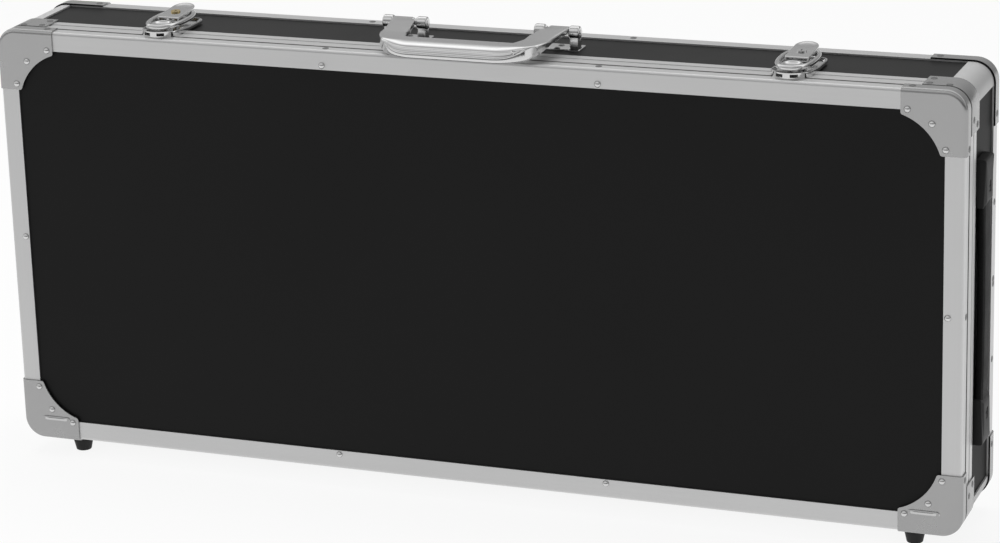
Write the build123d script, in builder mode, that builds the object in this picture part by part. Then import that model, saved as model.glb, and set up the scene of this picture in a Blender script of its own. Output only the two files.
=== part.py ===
from build123d import *
import os

os.makedirs("parts", exist_ok=True)

# Frame: X to the right seen from the lid, Y to the rear, Z up. The case stands on its feet
# with the lid in front, and the origin lies on the ground under the middle of the whole.

# Case box
case_width = 700.0
case_height = 306.5
lid_depth = 10.0
base_depth = 83.0
corner_radius = 14.0
foot_height = 14.0
grip_reach = 15.5  # how far the lying handle stands out in front of the lid

# Aluminium edge profiles
rail_wall = 1.2
rail_face = 13.8  # width of the strips seen from the front and from the rear
lid_lip_width = 9.0  # inner strip that holds the lid panel
lid_rounding = 2.2
rear_rounding = 4.0
front_rail_depth = 19.1
rear_rail_depth = 14.0
inner_flange_depth = 12.0
tongue_reach = 3.0  # the base's tongue stands this far inside the lid frame
groove_width = 5.0
groove_depth = 0.4

# Clearances
seam = 0.8  # between the closed lid and the base
fit = 0.1  # between pieces that are fixed together
tongue_gap = 0.6
least_radius = 2.0  # smallest corner of an inner outline

# Boards and linings
lid_panel_thickness = 4.0
wall_thickness = 7.0
back_panel_thickness = 5.0
lid_foam_thickness = 3.0
floor_foam_thickness = 10.0
wall_foam_thickness = 3.0
soft_gap = 0.3

# Pressed corner pieces
sheet = 1.0
leg = 43.2
leg_tip = 16.6
hollow_middle = 26.6  # the inner curve's middle, from both outer edges
tip_rounding = 1.8
bead_length = 21.5
bead_width = 3.5
bead_height = 0.7
bead_place = (25.5, 15.0)
strap_leg = 32.0
strap_depth = 22.5
strap_to_foot = 0.5
corner_sheet_across = 17.5
corner_sheet_down = 15.0

# Dome rivets
rivet_radius = 2.4
rivet_height = 1.1
corner_rivets = ((38.7, 13.2), (22.4, 22.0), (13.2, 38.9))
middle_rivet_x = 100.0
middle_rivet_inset = 10.8

# Feet
foot_top_radius = 7.9
foot_middle_radius = 7.2
foot_bottom_radius = 5.5
foot_middle_height = 7.5
foot_edge_rounding = 0.8
foot_inset = 36.0  # from the case's end
front_foot_depth = 18.6
rear_foot_inset = 24.5  # from the case's rear
foot_screw_radius = 1.6
foot_screw_length = 7.0
foot_screw_head_radius = 3.2
foot_screw_head_height = 2.2
foot_bore_radius = 3.8
foot_bore_depth = 8.0

# Hinges along the bottom
hinge_inset = 130.0  # of the outer hinges from the case's ends
hinge_knuckle_radius = 1.5
hinge_pin_radius = 0.75
hinge_knuckle_length = 8.0
hinge_knuckle_gap = 0.3
hinge_leaf_thickness = 0.8
base_leaf_reach = 12.0
lid_leaf_reach = 5.5
pin_clearance = 0.06

# Carrying handle
pivot_depth = 47.0
pivot_height = 12.0
lug_radius = 4.0
lug_width = 7.0
lug_x = (42.6, 69.0)
lug_neck = 5.0
handle_pin_radius = 1.5
arm_gap = 0.3
eye_radius = 3.2
arm_thickness = 4.0
grip_height = 10.3
grip_clearance = 2.3  # under the lying grip
grip_width = 20.5
window_half_width = 39.0
window_flare = 4.0  # the window widens by this on each side towards the pivots
shoulder_half_width = 61.0
shoulder_depth = 22.0
corner_sweep = 30.0  # plan radius of the handle's front corners
knuckle_depth = 17.0  # the thick grip ends here, and the flat arms go on
arm_root = 2.0  # length of each arm inside the grip
grip_rounding = 7.0
grip_foot_rounding = 2.6
bracket_plate = 1.5
bracket_front = 40.0
bracket_length = 18.0
bracket_margin = 0.4
bracket_screw_radius = 2.2
bracket_screw_height = 1.0
bracket_screw_inset = 4.5  # from the plate's front and rear edges

# Draw latches
latch_inset = 121.0  # from the case's end
plate_front = 12.0
plate_length = 45.0
plate_width = 30.0
plate_thickness = 1.0
plate_rim = 1.0
plate_rim_height = 2.4
plate_corner = 6.0
lever_pivot = (30.5, 5.6)  # depth behind the lid face, height above the case
ear_x = 5.2
ear_thickness = 1.4
ear_radius = 2.0
ear_front = 1.2  # upright front edge, ahead of the pin, past which the open lever hangs
lever_pin_radius = 1.1
lever_width = 16.0
lever_front = 28.4
lever_rear = 61.0
lever_front_height = 9.0
lever_rear_height = 11.4
lever_lip_height = 12.6
lever_sheet = 1.2
lever_lip_length = 5.3
cheek_margin = 2.0  # sheet around the ring's pin in a cheek
flange_radius = 2.6
flange_rear = 50.0
ring_pivot = (39.0, 6.6)
ring_pin_radius = 0.8
ring_front = 5.0
ring_rear = 59.0
ring_width = 25.0
ring_underside = 5.2
ring_height = 3.2
ring_rounding = 1.2
ring_window_width = 18.0
ring_window_front = 26.5
ring_rear_bar = 3.2
dish_wall = 3.0
dish_floor = 1.0
lock_depth = 41.0
lock_radius = 2.75
lock_collar_radius = 3.4
lock_collar_height = 0.8
lock_length = 4.6
lock_cam_length = 6.0
lock_cam_width = 3.0
lock_cam_thickness = 1.2
key_slot_width = 0.7
key_slot_length = 3.4
key_slot_depth = 1.0
keeper_front = 3.6
keeper_height = 4.2
keeper_top = 1.0
keeper_leg = 1.4
keeper_window_x = 5.0
keeper_window_width = 5.0
keeper_window_height = 2.2
latch_rivet_radius = 1.7
latch_rivet_height = 0.8
latch_rivet_inset = 5.5

# Strap handle on the right end
cap_length = 33.4
cap_width = 23.0
cap_height = 7.0
cap_low = 52.5  # above the case's underside
cap_spacing = 166.0
cap_gap_to_rail = 6.0
cap_rounding = 1.5
cap_slope = 3.5
cap_recess_inset = 13.0  # from the cap's end beside the strap
cap_recess_radius = 4.4
cap_recess = 1.6
cap_screw_radius = 1.5
cap_screw_head = 1.2
strap_width = 22.0
strap_thickness = 5.4
strap_rounding = 2.6
strap_tongue_length = 10.5
strap_tongue_width = 15.0
strap_tongue_thickness = 2.6
strap_lift = 0.6  # free space between the strap and the board

# Places that follow from the sizes above
front_y = grip_reach - (grip_reach + lid_depth + base_depth + sheet) / 2
seam_y = front_y + lid_depth
lid_rear = seam_y - seam / 2
base_front = seam_y + seam / 2
rear_y = seam_y + base_depth
front_rail_rear = seam_y + front_rail_depth
rear_rail_front = rear_y - rear_rail_depth
under_z = foot_height
top_z = under_z + case_height
middle_z = under_z + case_height / 2
wall_inset = rail_wall + fit
wall_inner = wall_inset + wall_thickness
board_top = top_z - wall_inset
foot_x = case_width / 2 - foot_inset
rear_foot_depth = lid_depth + base_depth - rear_foot_inset
hinge_x = case_width / 2 - hinge_inset
latch_x = case_width / 2 - latch_inset
latch_sides = (("left", -1), ("right", 1))
corners = (
    ("upper_left", -1, 1),
    ("upper_right", 1, 1),
    ("lower_left", -1, -1),
    ("lower_right", 1, -1),
)


def finish(part, name):
    """Label a finished piece and write it to its own file."""
    part.label = name
    export_step(part, f"parts/{name}.step")


def across(y):
    """Plane across the case at depth y, drawn in as X to the right and Z up, facing the front."""
    return Plane((0, y, middle_z), x_dir=(1, 0, 0), z_dir=(0, -1, 0))


def upright(x):
    """Plane along the case at width x, drawn in as Y to the rear and Z up, facing the right."""
    return Plane((x, front_y, top_z), x_dir=(0, 1, 0), z_dir=(1, 0, 0))


def outline(inset, mode=Mode.ADD):
    """Rounded outline of the case seen from the front, moved inwards by inset."""
    RectangleRounded(
        case_width - 2 * inset,
        case_height - 2 * inset,
        max(corner_radius - inset, least_radius),
        mode=mode,
    )


def block(near, far, inset, front_radius=0, rear_radius=0):
    """Solid of the case outline from depth near to depth far, with its two rims rounded."""
    with BuildPart() as solid:
        with BuildSketch(across(far)):
            outline(inset)
        extrude(amount=far - near)
        if front_radius > 0:
            fillet(solid.faces().sort_by(Axis.Y)[0].edges(), front_radius)
        if rear_radius > 0:
            fillet(solid.faces().sort_by(Axis.Y)[-1].edges(), rear_radius)
    return solid.part


def band(near, far, outer, inner):
    """Closed band between two insets of the case outline, from depth near to depth far."""
    with BuildPart() as ring:
        with BuildSketch(across(far)):
            outline(outer)
            outline(inner, mode=Mode.SUBTRACT)
        extrude(amount=far - near)
    return ring.part


def mitred_sides(ring):
    """The four sides of a closed ring, cut apart by planes through its corners at 45 degrees."""
    reach_x = case_width / 2 + leg
    reach_z = case_height / 2 + leg
    spine = (case_width - case_height) / 2
    sides = {}
    for name, sign in (("top", 1), ("bottom", -1)):
        with BuildPart() as side:
            add(ring)
            with BuildSketch(across(rear_y + leg)):
                Polygon(
                    (-reach_x, sign * reach_z),
                    (reach_x, sign * reach_z),
                    (spine, 0),
                    (-spine, 0),
                )
            extrude(amount=lid_depth + base_depth + 2 * leg, mode=Mode.INTERSECT)
        sides[name] = side.part
    for name, sign in (("left", -1), ("right", 1)):
        with BuildPart() as side:
            add(ring)
            with BuildSketch(across(rear_y + leg)):
                Polygon(
                    (sign * reach_x, reach_z),
                    (sign * reach_x, -reach_z),
                    (sign * spine, 0),
                )
            extrude(amount=lid_depth + base_depth + 2 * leg, mode=Mode.INTERSECT)
        sides[name] = side.part
    return sides


def from_corner(side_x, side_z, inward_x, inward_z):
    """Point in the plane across the case, measured inwards from one of its outer corners."""
    return (side_x * (case_width / 2 - inward_x), side_z * (case_height / 2 - inward_z))


def lobe(side_x, side_z, far, depth):
    """Prism over a corner piece: two legs joined by a hollow curve, with rounded tips."""
    tips = [(leg, leg_tip), (leg_tip, leg)]
    with BuildPart() as prism:
        with BuildSketch(across(far)) as face:
            with BuildLine():
                Polyline(
                    from_corner(side_x, side_z, *tips[0]),
                    from_corner(side_x, side_z, leg, -leg),
                    from_corner(side_x, side_z, -leg, -leg),
                    from_corner(side_x, side_z, -leg, leg),
                    from_corner(side_x, side_z, *tips[1]),
                )
                ThreePointArc(
                    from_corner(side_x, side_z, *tips[1]),
                    from_corner(side_x, side_z, hollow_middle, hollow_middle),
                    from_corner(side_x, side_z, *tips[0]),
                )
            make_face()
            middle = Vector(*from_corner(side_x, side_z, hollow_middle, hollow_middle))
            fillet(face.vertices().sort_by_distance(middle)[:2], tip_rounding)
        extrude(amount=depth)
    return prism.part


def leg_square(side_x, side_z, along, down, far, depth):
    """Prism over one outer corner of the case, reaching along and down from it."""
    with BuildPart() as prism:
        with BuildSketch(across(far)):
            with Locations(from_corner(side_x, side_z, 0, 0)):
                Rectangle(2 * along, 2 * down)
        extrude(amount=depth)
    return prism.part


def dome(radius, height):
    """Rivet head: the cap of a ball with a flat underside, standing on the origin."""
    ball_radius = (radius**2 + height**2) / (2 * height)
    with BuildPart() as head:
        with Locations((0, 0, height - ball_radius)):
            Sphere(ball_radius)
        split(bisect_by=Plane.XY)
    return head.part


# ---------------------------------------------------------------- lid
with BuildPart() as lid_frame:
    add(block(front_y, lid_rear, 0, front_radius=lid_rounding))
    add(
        block(front_y + rail_wall, lid_rear, rail_wall, front_radius=lid_rounding - rail_wall),
        mode=Mode.SUBTRACT,
    )
    add(block(front_y, front_y + rail_wall, rail_face), mode=Mode.SUBTRACT)
    lip_front = front_y + rail_wall + lid_panel_thickness + 2 * fit
    add(band(lip_front, lip_front + rail_wall, rail_wall, lid_lip_width))
for side_name, side_part in mitred_sides(lid_frame.part).items():
    finish(side_part, f"lid_rail_{side_name}")

panel_front = front_y + rail_wall + fit
with BuildPart() as lid_panel:
    add(
        block(
            panel_front,
            panel_front + lid_panel_thickness,
            rail_wall + fit,
            front_radius=lid_rounding - rail_wall - fit,
        )
    )
finish(lid_panel.part, "lid_panel")

with BuildPart() as lid_foam:
    foam_front = panel_front + lid_panel_thickness + fit
    add(block(foam_front, foam_front + lid_foam_thickness, lid_lip_width + fit))
finish(lid_foam.part, "lid_foam")

for corner_name, side_x, side_z in corners:
    with BuildPart() as lid_corner:
        add(block(front_y - sheet, lid_rear, -sheet, front_radius=lid_rounding + sheet))
        add(block(front_y, lid_rear, 0, front_radius=lid_rounding), mode=Mode.SUBTRACT)
        add(lobe(side_x, side_z, lid_rear, lid_depth + 2 * sheet), mode=Mode.INTERSECT)
        if side_z < 0:
            with BuildSketch(across(front_y - sheet)):
                with Locations(from_corner(side_x, side_z, *bead_place)):
                    SlotOverall(bead_length, bead_width)
            extrude(amount=bead_height)
    finish(lid_corner.part, f"lid_corner_{corner_name}")

rivet_head = dome(rivet_radius, rivet_height)
with BuildPart() as lid_rivets:
    for corner_name, side_x, side_z in corners:
        for inward in corner_rivets:
            x, z = from_corner(side_x, side_z, *inward)
            face = Plane((x, front_y - sheet, middle_z + z), x_dir=(1, 0, 0), z_dir=(0, -1, 0))
            with Locations(face):
                add(rivet_head)
    middle_x = case_width / 2 - middle_rivet_inset
    middle_up = case_height / 2 - middle_rivet_inset
    middle_spots = [
        (-middle_rivet_x, middle_up),
        (middle_rivet_x, middle_up),
        (-middle_rivet_x, -middle_up),
        (middle_rivet_x, -middle_up),
        (-middle_x, 0),
        (middle_x, 0),
    ]
    for x, z in middle_spots:
        face = Plane((x, front_y, middle_z + z), x_dir=(1, 0, 0), z_dir=(0, -1, 0))
        with Locations(face):
            add(rivet_head)
finish(lid_rivets.part, "lid_rivets")

# ---------------------------------------------------------------- base frame and boards
foot_spots = [
    (side_x * foot_x, front_y + depth)
    for side_x in (-1, 1)
    for depth in (front_foot_depth, rear_foot_depth)
]


def foot_screw_holes():
    """Holes for the foot screws, cut up through the underside."""
    with Locations(*[(x, y, under_z) for x, y in foot_spots]):
        Cylinder(foot_screw_radius + fit, 2 * (wall_inner - fit), mode=Mode.SUBTRACT)


with BuildPart() as front_frame:
    add(band(base_front, front_rail_rear, 0, rail_wall))
    add(band(base_front, base_front + rail_wall, 0, wall_inner + fit + rail_wall))
    add(
        band(
            base_front,
            base_front + inner_flange_depth,
            wall_inner + fit,
            wall_inner + fit + rail_wall,
        )
    )
    tongue_inset = rail_wall + tongue_gap
    add(
        band(
            lid_rear - tongue_reach,
            base_front,
            tongue_inset,
            tongue_inset + rail_wall,
        )
    )
    groove_front = (base_front + front_rail_rear - groove_width) / 2
    add(
        band(groove_front, groove_front + groove_width, -sheet, groove_depth),
        mode=Mode.SUBTRACT,
    )
    foot_screw_holes()
for side_name, side_part in mitred_sides(front_frame.part).items():
    finish(side_part, f"front_rail_{side_name}")

with BuildPart() as rear_frame:
    add(block(rear_rail_front, rear_y, 0, rear_radius=rear_rounding))
    add(
        block(
            rear_rail_front,
            rear_y - rail_wall,
            rail_wall,
            rear_radius=rear_rounding - rail_wall,
        ),
        mode=Mode.SUBTRACT,
    )
    add(block(rear_y - rail_wall, rear_y, rail_face), mode=Mode.SUBTRACT)
for side_name, side_part in mitred_sides(rear_frame.part).items():
    finish(side_part, f"rear_rail_{side_name}")

board_front = base_front + rail_wall + fit
board_rear = rear_y - rail_wall - fit
with BuildPart() as boards:
    add(block(board_front, board_rear, wall_inset, rear_radius=rear_rounding - rail_wall - fit))
    add(block(board_front, board_rear, wall_inner), mode=Mode.SUBTRACT)
    foot_screw_holes()
for side_name, side_part in mitred_sides(boards.part).items():
    finish(side_part, f"wall_{side_name}")

back_front = board_rear - back_panel_thickness
with BuildPart() as back_panel:
    add(block(back_front, board_rear, wall_inner + fit))
finish(back_panel.part, "back_panel")

for corner_name, side_x, side_z in corners:
    with BuildPart() as corner_sheet:
        add(band(front_rail_rear + fit, rear_rail_front - fit, 0, rail_wall))
        add(
            leg_square(
                side_x, side_z, corner_sheet_across, corner_sheet_down, rear_y, base_depth
            ),
            mode=Mode.INTERSECT,
        )
    finish(corner_sheet.part, f"corner_sheet_{corner_name}")


def front_corner(side_x, side_z):
    """Flat strap bent round one corner of the base, stopping short of the foot below."""
    beside_foot = case_width / 2 - foot_x - foot_top_radius - strap_to_foot
    along = strap_leg if side_z > 0 else beside_foot
    with BuildPart() as bent:
        add(band(base_front, base_front + strap_depth, -sheet, 0))
        add(
            leg_square(side_x, side_z, along, strap_leg, rear_y, base_depth + leg),
            mode=Mode.INTERSECT,
        )
    return bent.part


def rear_corner(side_x, side_z):
    """Lobed corner piece over the rear frame, like the lid's."""
    with BuildPart() as pressed:
        add(block(rear_rail_front, rear_y + sheet, -sheet, rear_radius=rear_rounding + sheet))
        add(block(rear_rail_front, rear_y, 0, rear_radius=rear_rounding), mode=Mode.SUBTRACT)
        add(
            lobe(side_x, side_z, rear_y + 2 * sheet, rear_rail_depth + 3 * sheet),
            mode=Mode.INTERSECT,
        )
    return pressed.part


with BuildPart() as front_corners:
    for corner_name, side_x, side_z in corners:
        add(front_corner(side_x, side_z))
finish(front_corners.part, "front_corners")

with BuildPart() as rear_corners:
    for corner_name, side_x, side_z in corners:
        add(rear_corner(side_x, side_z))
finish(rear_corners.part, "rear_corners")

# ---------------------------------------------------------------- linings
foam_rear = back_front - fit
with BuildPart() as floor_foam:
    add(block(foam_rear - floor_foam_thickness, foam_rear, wall_inner + soft_gap))
finish(floor_foam.part, "floor_foam")

with BuildPart() as foam_ring:
    add(
        band(
            base_front + inner_flange_depth + soft_gap,
            foam_rear - floor_foam_thickness - soft_gap,
            wall_inner + fit,
            wall_inner + fit + wall_foam_thickness,
        )
    )
with BuildPart() as wall_foam:
    for side_part in mitred_sides(foam_ring.part).values():
        add(side_part)
finish(wall_foam.part, "wall_foam")

# ---------------------------------------------------------------- feet
def foot(top):
    """Turned rubber foot from the ground up to height top, bored from below for its screw."""
    with BuildPart() as turned:
        with BuildSketch(Plane.XZ) as profile:
            Polygon(
                (0, 0),
                (foot_bottom_radius, 0),
                (foot_middle_radius, foot_middle_height),
                (foot_top_radius, top),
                (0, top),
            )
            corner = profile.vertices().sort_by_distance((foot_bottom_radius, 0))[0]
            fillet(corner, foot_edge_rounding)
        revolve(axis=Axis.Z)
        with Locations((0, 0, foot_bore_depth / 2)):
            Cylinder(foot_bore_radius, foot_bore_depth, mode=Mode.SUBTRACT)
        Cylinder(foot_screw_radius + fit, 2 * top, mode=Mode.SUBTRACT)
    return turned.part


def foot_screw():
    """Screw that stands in a foot's bore, its head below and its shank up in the board."""
    shank_top = under_z + foot_screw_length
    with BuildPart() as screw:
        with BuildSketch(Plane.XZ):
            Polygon(
                (0, foot_bore_depth - foot_screw_head_height),
                (foot_screw_head_radius, foot_bore_depth - foot_screw_head_height),
                (foot_screw_head_radius, foot_bore_depth),
                (foot_screw_radius, foot_bore_depth),
                (foot_screw_radius, shank_top),
                (0, shank_top),
            )
        revolve(axis=Axis.Z)
    return screw.part


front_foot = foot(foot_height)
rear_foot = foot(foot_height + wall_inset)
with BuildPart() as feet:
    with Locations(*[(side * foot_x, front_y + front_foot_depth) for side in (-1, 1)]):
        add(front_foot)
    with Locations(*[(side * foot_x, front_y + rear_foot_depth) for side in (-1, 1)]):
        add(rear_foot)
finish(feet.part, "feet")

screw_in_foot = foot_screw()
with BuildPart() as foot_screws:
    with Locations(*foot_spots):
        add(screw_in_foot)
finish(foot_screws.part, "foot_screws")

# ---------------------------------------------------------------- hinges
hinge_places = (-hinge_x, 0, hinge_x)
hinge_axis_z = under_z - hinge_knuckle_radius - fit
knuckle_pitch = hinge_knuckle_length + hinge_knuckle_gap
leaf_start = hinge_knuckle_radius + hinge_knuckle_gap
leaf_width = 5 * hinge_knuckle_length + 4 * hinge_knuckle_gap


def hinge_leaf(x, toward, knuckles, reach):
    """One leaf under the case with its own knuckles; toward is -1 for the lid, 1 for the base."""
    with BuildPart() as leaf:
        with BuildSketch(Plane((x, seam_y, under_z - hinge_leaf_thickness))):
            with Locations((0, toward * (leaf_start + reach) / 2)):
                Rectangle(leaf_width, reach - leaf_start)
            for index in knuckles:
                with Locations((index * knuckle_pitch, toward * leaf_start / 2)):
                    Rectangle(hinge_knuckle_length, leaf_start)
        extrude(amount=hinge_leaf_thickness)
        for index in knuckles:
            centre = (x + index * knuckle_pitch, seam_y, hinge_axis_z)
            with Locations(Location(centre, (0, 90, 0))):
                Cylinder(hinge_knuckle_radius, hinge_knuckle_length)
        with Locations(Location((x, seam_y, hinge_axis_z), (0, 90, 0))):
            Cylinder(
                hinge_pin_radius + pin_clearance,
                2 * leaf_width,
                mode=Mode.SUBTRACT,
            )
    return leaf.part


with BuildPart() as lid_hinge_leaves:
    for x in hinge_places:
        add(hinge_leaf(x, -1, (-1, 1), lid_leaf_reach))
finish(lid_hinge_leaves.part, "lid_hinge_leaves")

with BuildPart() as base_hinge_leaves:
    for x in hinge_places:
        add(hinge_leaf(x, 1, (-2, 0, 2), base_leaf_reach))
finish(base_hinge_leaves.part, "base_hinge_leaves")

with BuildPart() as hinge_pins:
    for x in hinge_places:
        with Locations(Location((x, seam_y, hinge_axis_z), (0, 90, 0))):
            Cylinder(hinge_pin_radius, leaf_width)
finish(hinge_pins.part, "hinge_pins")

# ---------------------------------------------------------------- carrying handle
lug_inner_face = lug_x[0] + lug_width / 2
lug_outer_face = lug_x[1] - lug_width / 2
bracket_inner = lug_x[0] - lug_width / 2 - bracket_margin
bracket_outer = lug_x[1] + lug_width / 2 + bracket_margin
bracket_middle = (bracket_inner + bracket_outer) / 2
bracket_screw_spots = [
    (side * bracket_middle, front_y + bracket_front + depth, board_top + bracket_plate)
    for side in (-1, 1)
    for depth in (bracket_screw_inset, bracket_length - bracket_screw_inset)
]

with BuildPart() as handle_brackets:
    for side in (-1, 1):
        with BuildSketch(Plane((side * bracket_middle, front_y, board_top))):
            with Locations((0, bracket_front + bracket_length / 2)):
                RectangleRounded(bracket_outer - bracket_inner, bracket_length, bracket_margin)
        extrude(amount=bracket_plate)
        for x in lug_x:
            with BuildSketch(upright(side * x - lug_width / 2)):
                Polygon(
                    (pivot_depth - lug_neck, bracket_plate / 2 - wall_inset),
                    (pivot_depth + lug_neck, bracket_plate / 2 - wall_inset),
                    (pivot_depth + lug_radius - fit, pivot_height),
                    (pivot_depth - lug_radius + fit, pivot_height),
                )
                with Locations((pivot_depth, pivot_height)):
                    Circle(lug_radius)
                    Circle(handle_pin_radius + fit, mode=Mode.SUBTRACT)
            extrude(amount=lug_width)
finish(handle_brackets.part, "handle_brackets")

with BuildPart() as handle_pins:
    pin_length = lug_x[1] - lug_x[0] + lug_width
    for side in (-1, 1):
        middle = (side * (lug_x[0] + lug_x[1]) / 2, front_y + pivot_depth, top_z + pivot_height)
        with Locations(Location(middle, (0, 90, 0))):
            Cylinder(handle_pin_radius, pin_length)
finish(handle_pins.part, "handle_pins")

bracket_screw_head = dome(bracket_screw_radius, bracket_screw_height)
with BuildPart() as handle_bracket_screws:
    with Locations(*bracket_screw_spots):
        add(bracket_screw_head)
finish(handle_bracket_screws.part, "handle_bracket_screws")


def outer_rims(solid):
    """Level edges round the outside of the grip, from one shoulder to the other."""
    return solid.edges().filter_by(Plane.XY).filter_by(
        lambda edge: edge.center().Y < front_y or abs(edge.center().X) > shoulder_half_width - fit
    )


sweep_start = shoulder_half_width - corner_sweep
with BuildPart() as grip:
    with BuildSketch(Plane((0, front_y, top_z + grip_clearance))) as grip_plan:
        with BuildLine():
            Line((0, -grip_reach), (sweep_start, -grip_reach))
            TangentArc(
                (sweep_start, -grip_reach),
                (shoulder_half_width, corner_sweep - grip_reach),
                tangent=(1, 0),
            )
            Polyline(
                (shoulder_half_width, corner_sweep - grip_reach),
                (shoulder_half_width, knuckle_depth),
                (window_half_width + window_flare, knuckle_depth),
                (window_half_width, grip_width - grip_reach),
                (0, grip_width - grip_reach),
            )
            mirror(about=Plane.YZ)
        make_face()
    extrude(amount=grip_height)
    fillet(outer_rims(grip).group_by(Axis.Z)[-1], grip_rounding)
    fillet(outer_rims(grip).group_by(Axis.Z)[0], grip_foot_rounding)

arm_slope_start = knuckle_depth - arm_root
grip_top = grip_clearance + grip_height
eye_top = pivot_height + eye_radius
with BuildPart() as arms:
    with BuildSketch(upright(-lug_outer_face)):
        Polygon(
            (arm_slope_start, grip_top),
            (pivot_depth, eye_top),
            (pivot_depth, eye_top - arm_thickness),
            (arm_slope_start, grip_top - arm_thickness),
        )
        with Locations((pivot_depth, pivot_height)):
            Circle(eye_radius)
    extrude(amount=2 * lug_outer_face)
    shoulder_end = pivot_depth - lug_radius - 2 * arm_gap
    with BuildSketch(Plane((0, front_y, top_z))):
        with BuildLine():
            Polyline(
                (window_half_width + window_flare, arm_slope_start),
                (window_half_width + window_flare, pivot_depth / 2),
                (lug_inner_face + arm_gap, shoulder_end),
                (lug_inner_face + arm_gap, pivot_depth + eye_radius),
                (lug_outer_face - arm_gap, pivot_depth + eye_radius),
                (lug_outer_face - arm_gap, shoulder_end),
                (shoulder_half_width, shoulder_depth),
                (shoulder_half_width, arm_slope_start),
                (window_half_width + window_flare, arm_slope_start),
            )
        make_face()
        mirror(about=Plane.YZ)
    extrude(amount=2 * eye_top, mode=Mode.INTERSECT)
    with Locations(Location((0, front_y + pivot_depth, top_z + pivot_height), (0, 90, 0))):
        Cylinder(
            handle_pin_radius + pin_clearance,
            2 * lug_outer_face,
            mode=Mode.SUBTRACT,
        )

with BuildPart() as handle_bail:
    add(grip.part)
    add(arms.part)
finish(handle_bail.part, "handle_bail")

# ---------------------------------------------------------------- draw latches
pivot_depth_lever, pivot_height_lever = lever_pivot
pivot_depth_ring, pivot_height_ring = ring_pivot
lever_slope = (lever_rear_height - lever_front_height) / (lever_rear - lever_front)
flange_inner = lever_width / 2 - ear_thickness
ring_radius = ring_width / 2


def latch_plate(x):
    """Base plate of a latch: rimmed sheet over the rail and the board, with two ears inside."""
    rail_end = lid_depth + front_rail_depth + fit
    plate_rear = plate_front + plate_length
    with BuildPart() as plate:
        with BuildSketch(Plane((x, front_y, top_z))):
            with Locations((0, plate_front + plate_length / 2)):
                RectangleRounded(plate_width, plate_length, plate_corner)
        extrude(amount=plate_thickness)
        with BuildSketch(Plane((x, front_y, top_z))) as rim:
            with Locations((0, plate_front + plate_length / 2)):
                RectangleRounded(plate_width, plate_length, plate_corner)
                RectangleRounded(
                    plate_width - 2 * plate_rim,
                    plate_length - 2 * plate_rim,
                    plate_corner - plate_rim,
                    mode=Mode.SUBTRACT,
                )
        extrude(amount=plate_rim_height)
        with BuildSketch(Plane((x, front_y, top_z))):
            add(rim.sketch_local)
            with Locations((0, (rail_end + plate_rear + plate_rim) / 2)):
                Rectangle(
                    2 * plate_width,
                    plate_rear + plate_rim - rail_end,
                    mode=Mode.INTERSECT,
                )
        extrude(amount=-wall_inset)
        for side in (-1, 1):
            with BuildSketch(upright(x + side * ear_x - ear_thickness / 2)):
                Polygon(
                    (pivot_depth_lever - ear_front, plate_thickness / 2),
                    (pivot_depth_lever + 2 * ear_radius, plate_thickness / 2),
                    (pivot_depth_lever + ear_radius - fit, pivot_height_lever),
                    (pivot_depth_lever - ear_front, pivot_height_lever),
                )
                with Locations(lever_pivot):
                    Circle(ear_radius)
                    Circle(lever_pin_radius + fit, mode=Mode.SUBTRACT)
            extrude(amount=ear_thickness)
    return plate.part


def lock_plane(x):
    """Plane on top of the lever's sheet at the lock, leaning back with the lever."""
    height = lever_front_height + lever_slope * (lock_depth - lever_front)
    return Plane(
        (x, front_y + lock_depth, top_z + height),
        x_dir=(1, 0, 0),
        z_dir=(0, -lever_slope, 1),
    )


def lever(x):
    """Latch lever: a tongue with a round lifted end, and a cheek down each side."""
    lip_start = lever_rear - lever_lip_length
    lip_start_height = lever_front_height + lever_slope * (lip_start - lever_front)
    with BuildPart() as tongue:
        with BuildSketch(upright(x - lever_width / 2)):
            Polygon(
                (lever_front, lever_front_height),
                (lip_start, lip_start_height),
                (lever_rear, lever_lip_height),
                (lever_rear, lever_lip_height - lever_sheet),
                (lip_start, lip_start_height - lever_sheet),
                (lever_front, lever_front_height - lever_sheet),
            )
        extrude(amount=lever_width)
        with BuildSketch(Plane((x, front_y, top_z))):
            straight = lever_rear - lever_width / 2 - lever_front
            with Locations((0, lever_front + straight / 2)):
                Rectangle(lever_width, straight)
            with Locations((0, lever_front + straight)):
                Circle(lever_width / 2)
        extrude(amount=2 * lever_lip_height, mode=Mode.INTERSECT)
        for low in (-lever_width / 2, flange_inner):
            with BuildSketch(upright(x + low)):
                Polygon(
                    (lever_front, lever_front_height - lever_sheet / 2),
                    (flange_rear, lip_start_height - lever_sheet),
                    (pivot_depth_ring + cheek_margin, pivot_height_ring - cheek_margin),
                    (pivot_depth_lever, pivot_height_lever - flange_radius),
                    (pivot_depth_lever - flange_radius, pivot_height_lever),
                )
                with Locations(lever_pivot):
                    Circle(flange_radius)
                    Circle(lever_pin_radius + pin_clearance, mode=Mode.SUBTRACT)
                with Locations(ring_pivot):
                    Circle(ring_pin_radius + fit, mode=Mode.SUBTRACT)
            extrude(amount=ear_thickness)
        with Locations(lock_plane(x)):
            Cylinder(lock_radius + fit, 4 * lever_sheet, mode=Mode.SUBTRACT)
    return tongue.part


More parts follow.
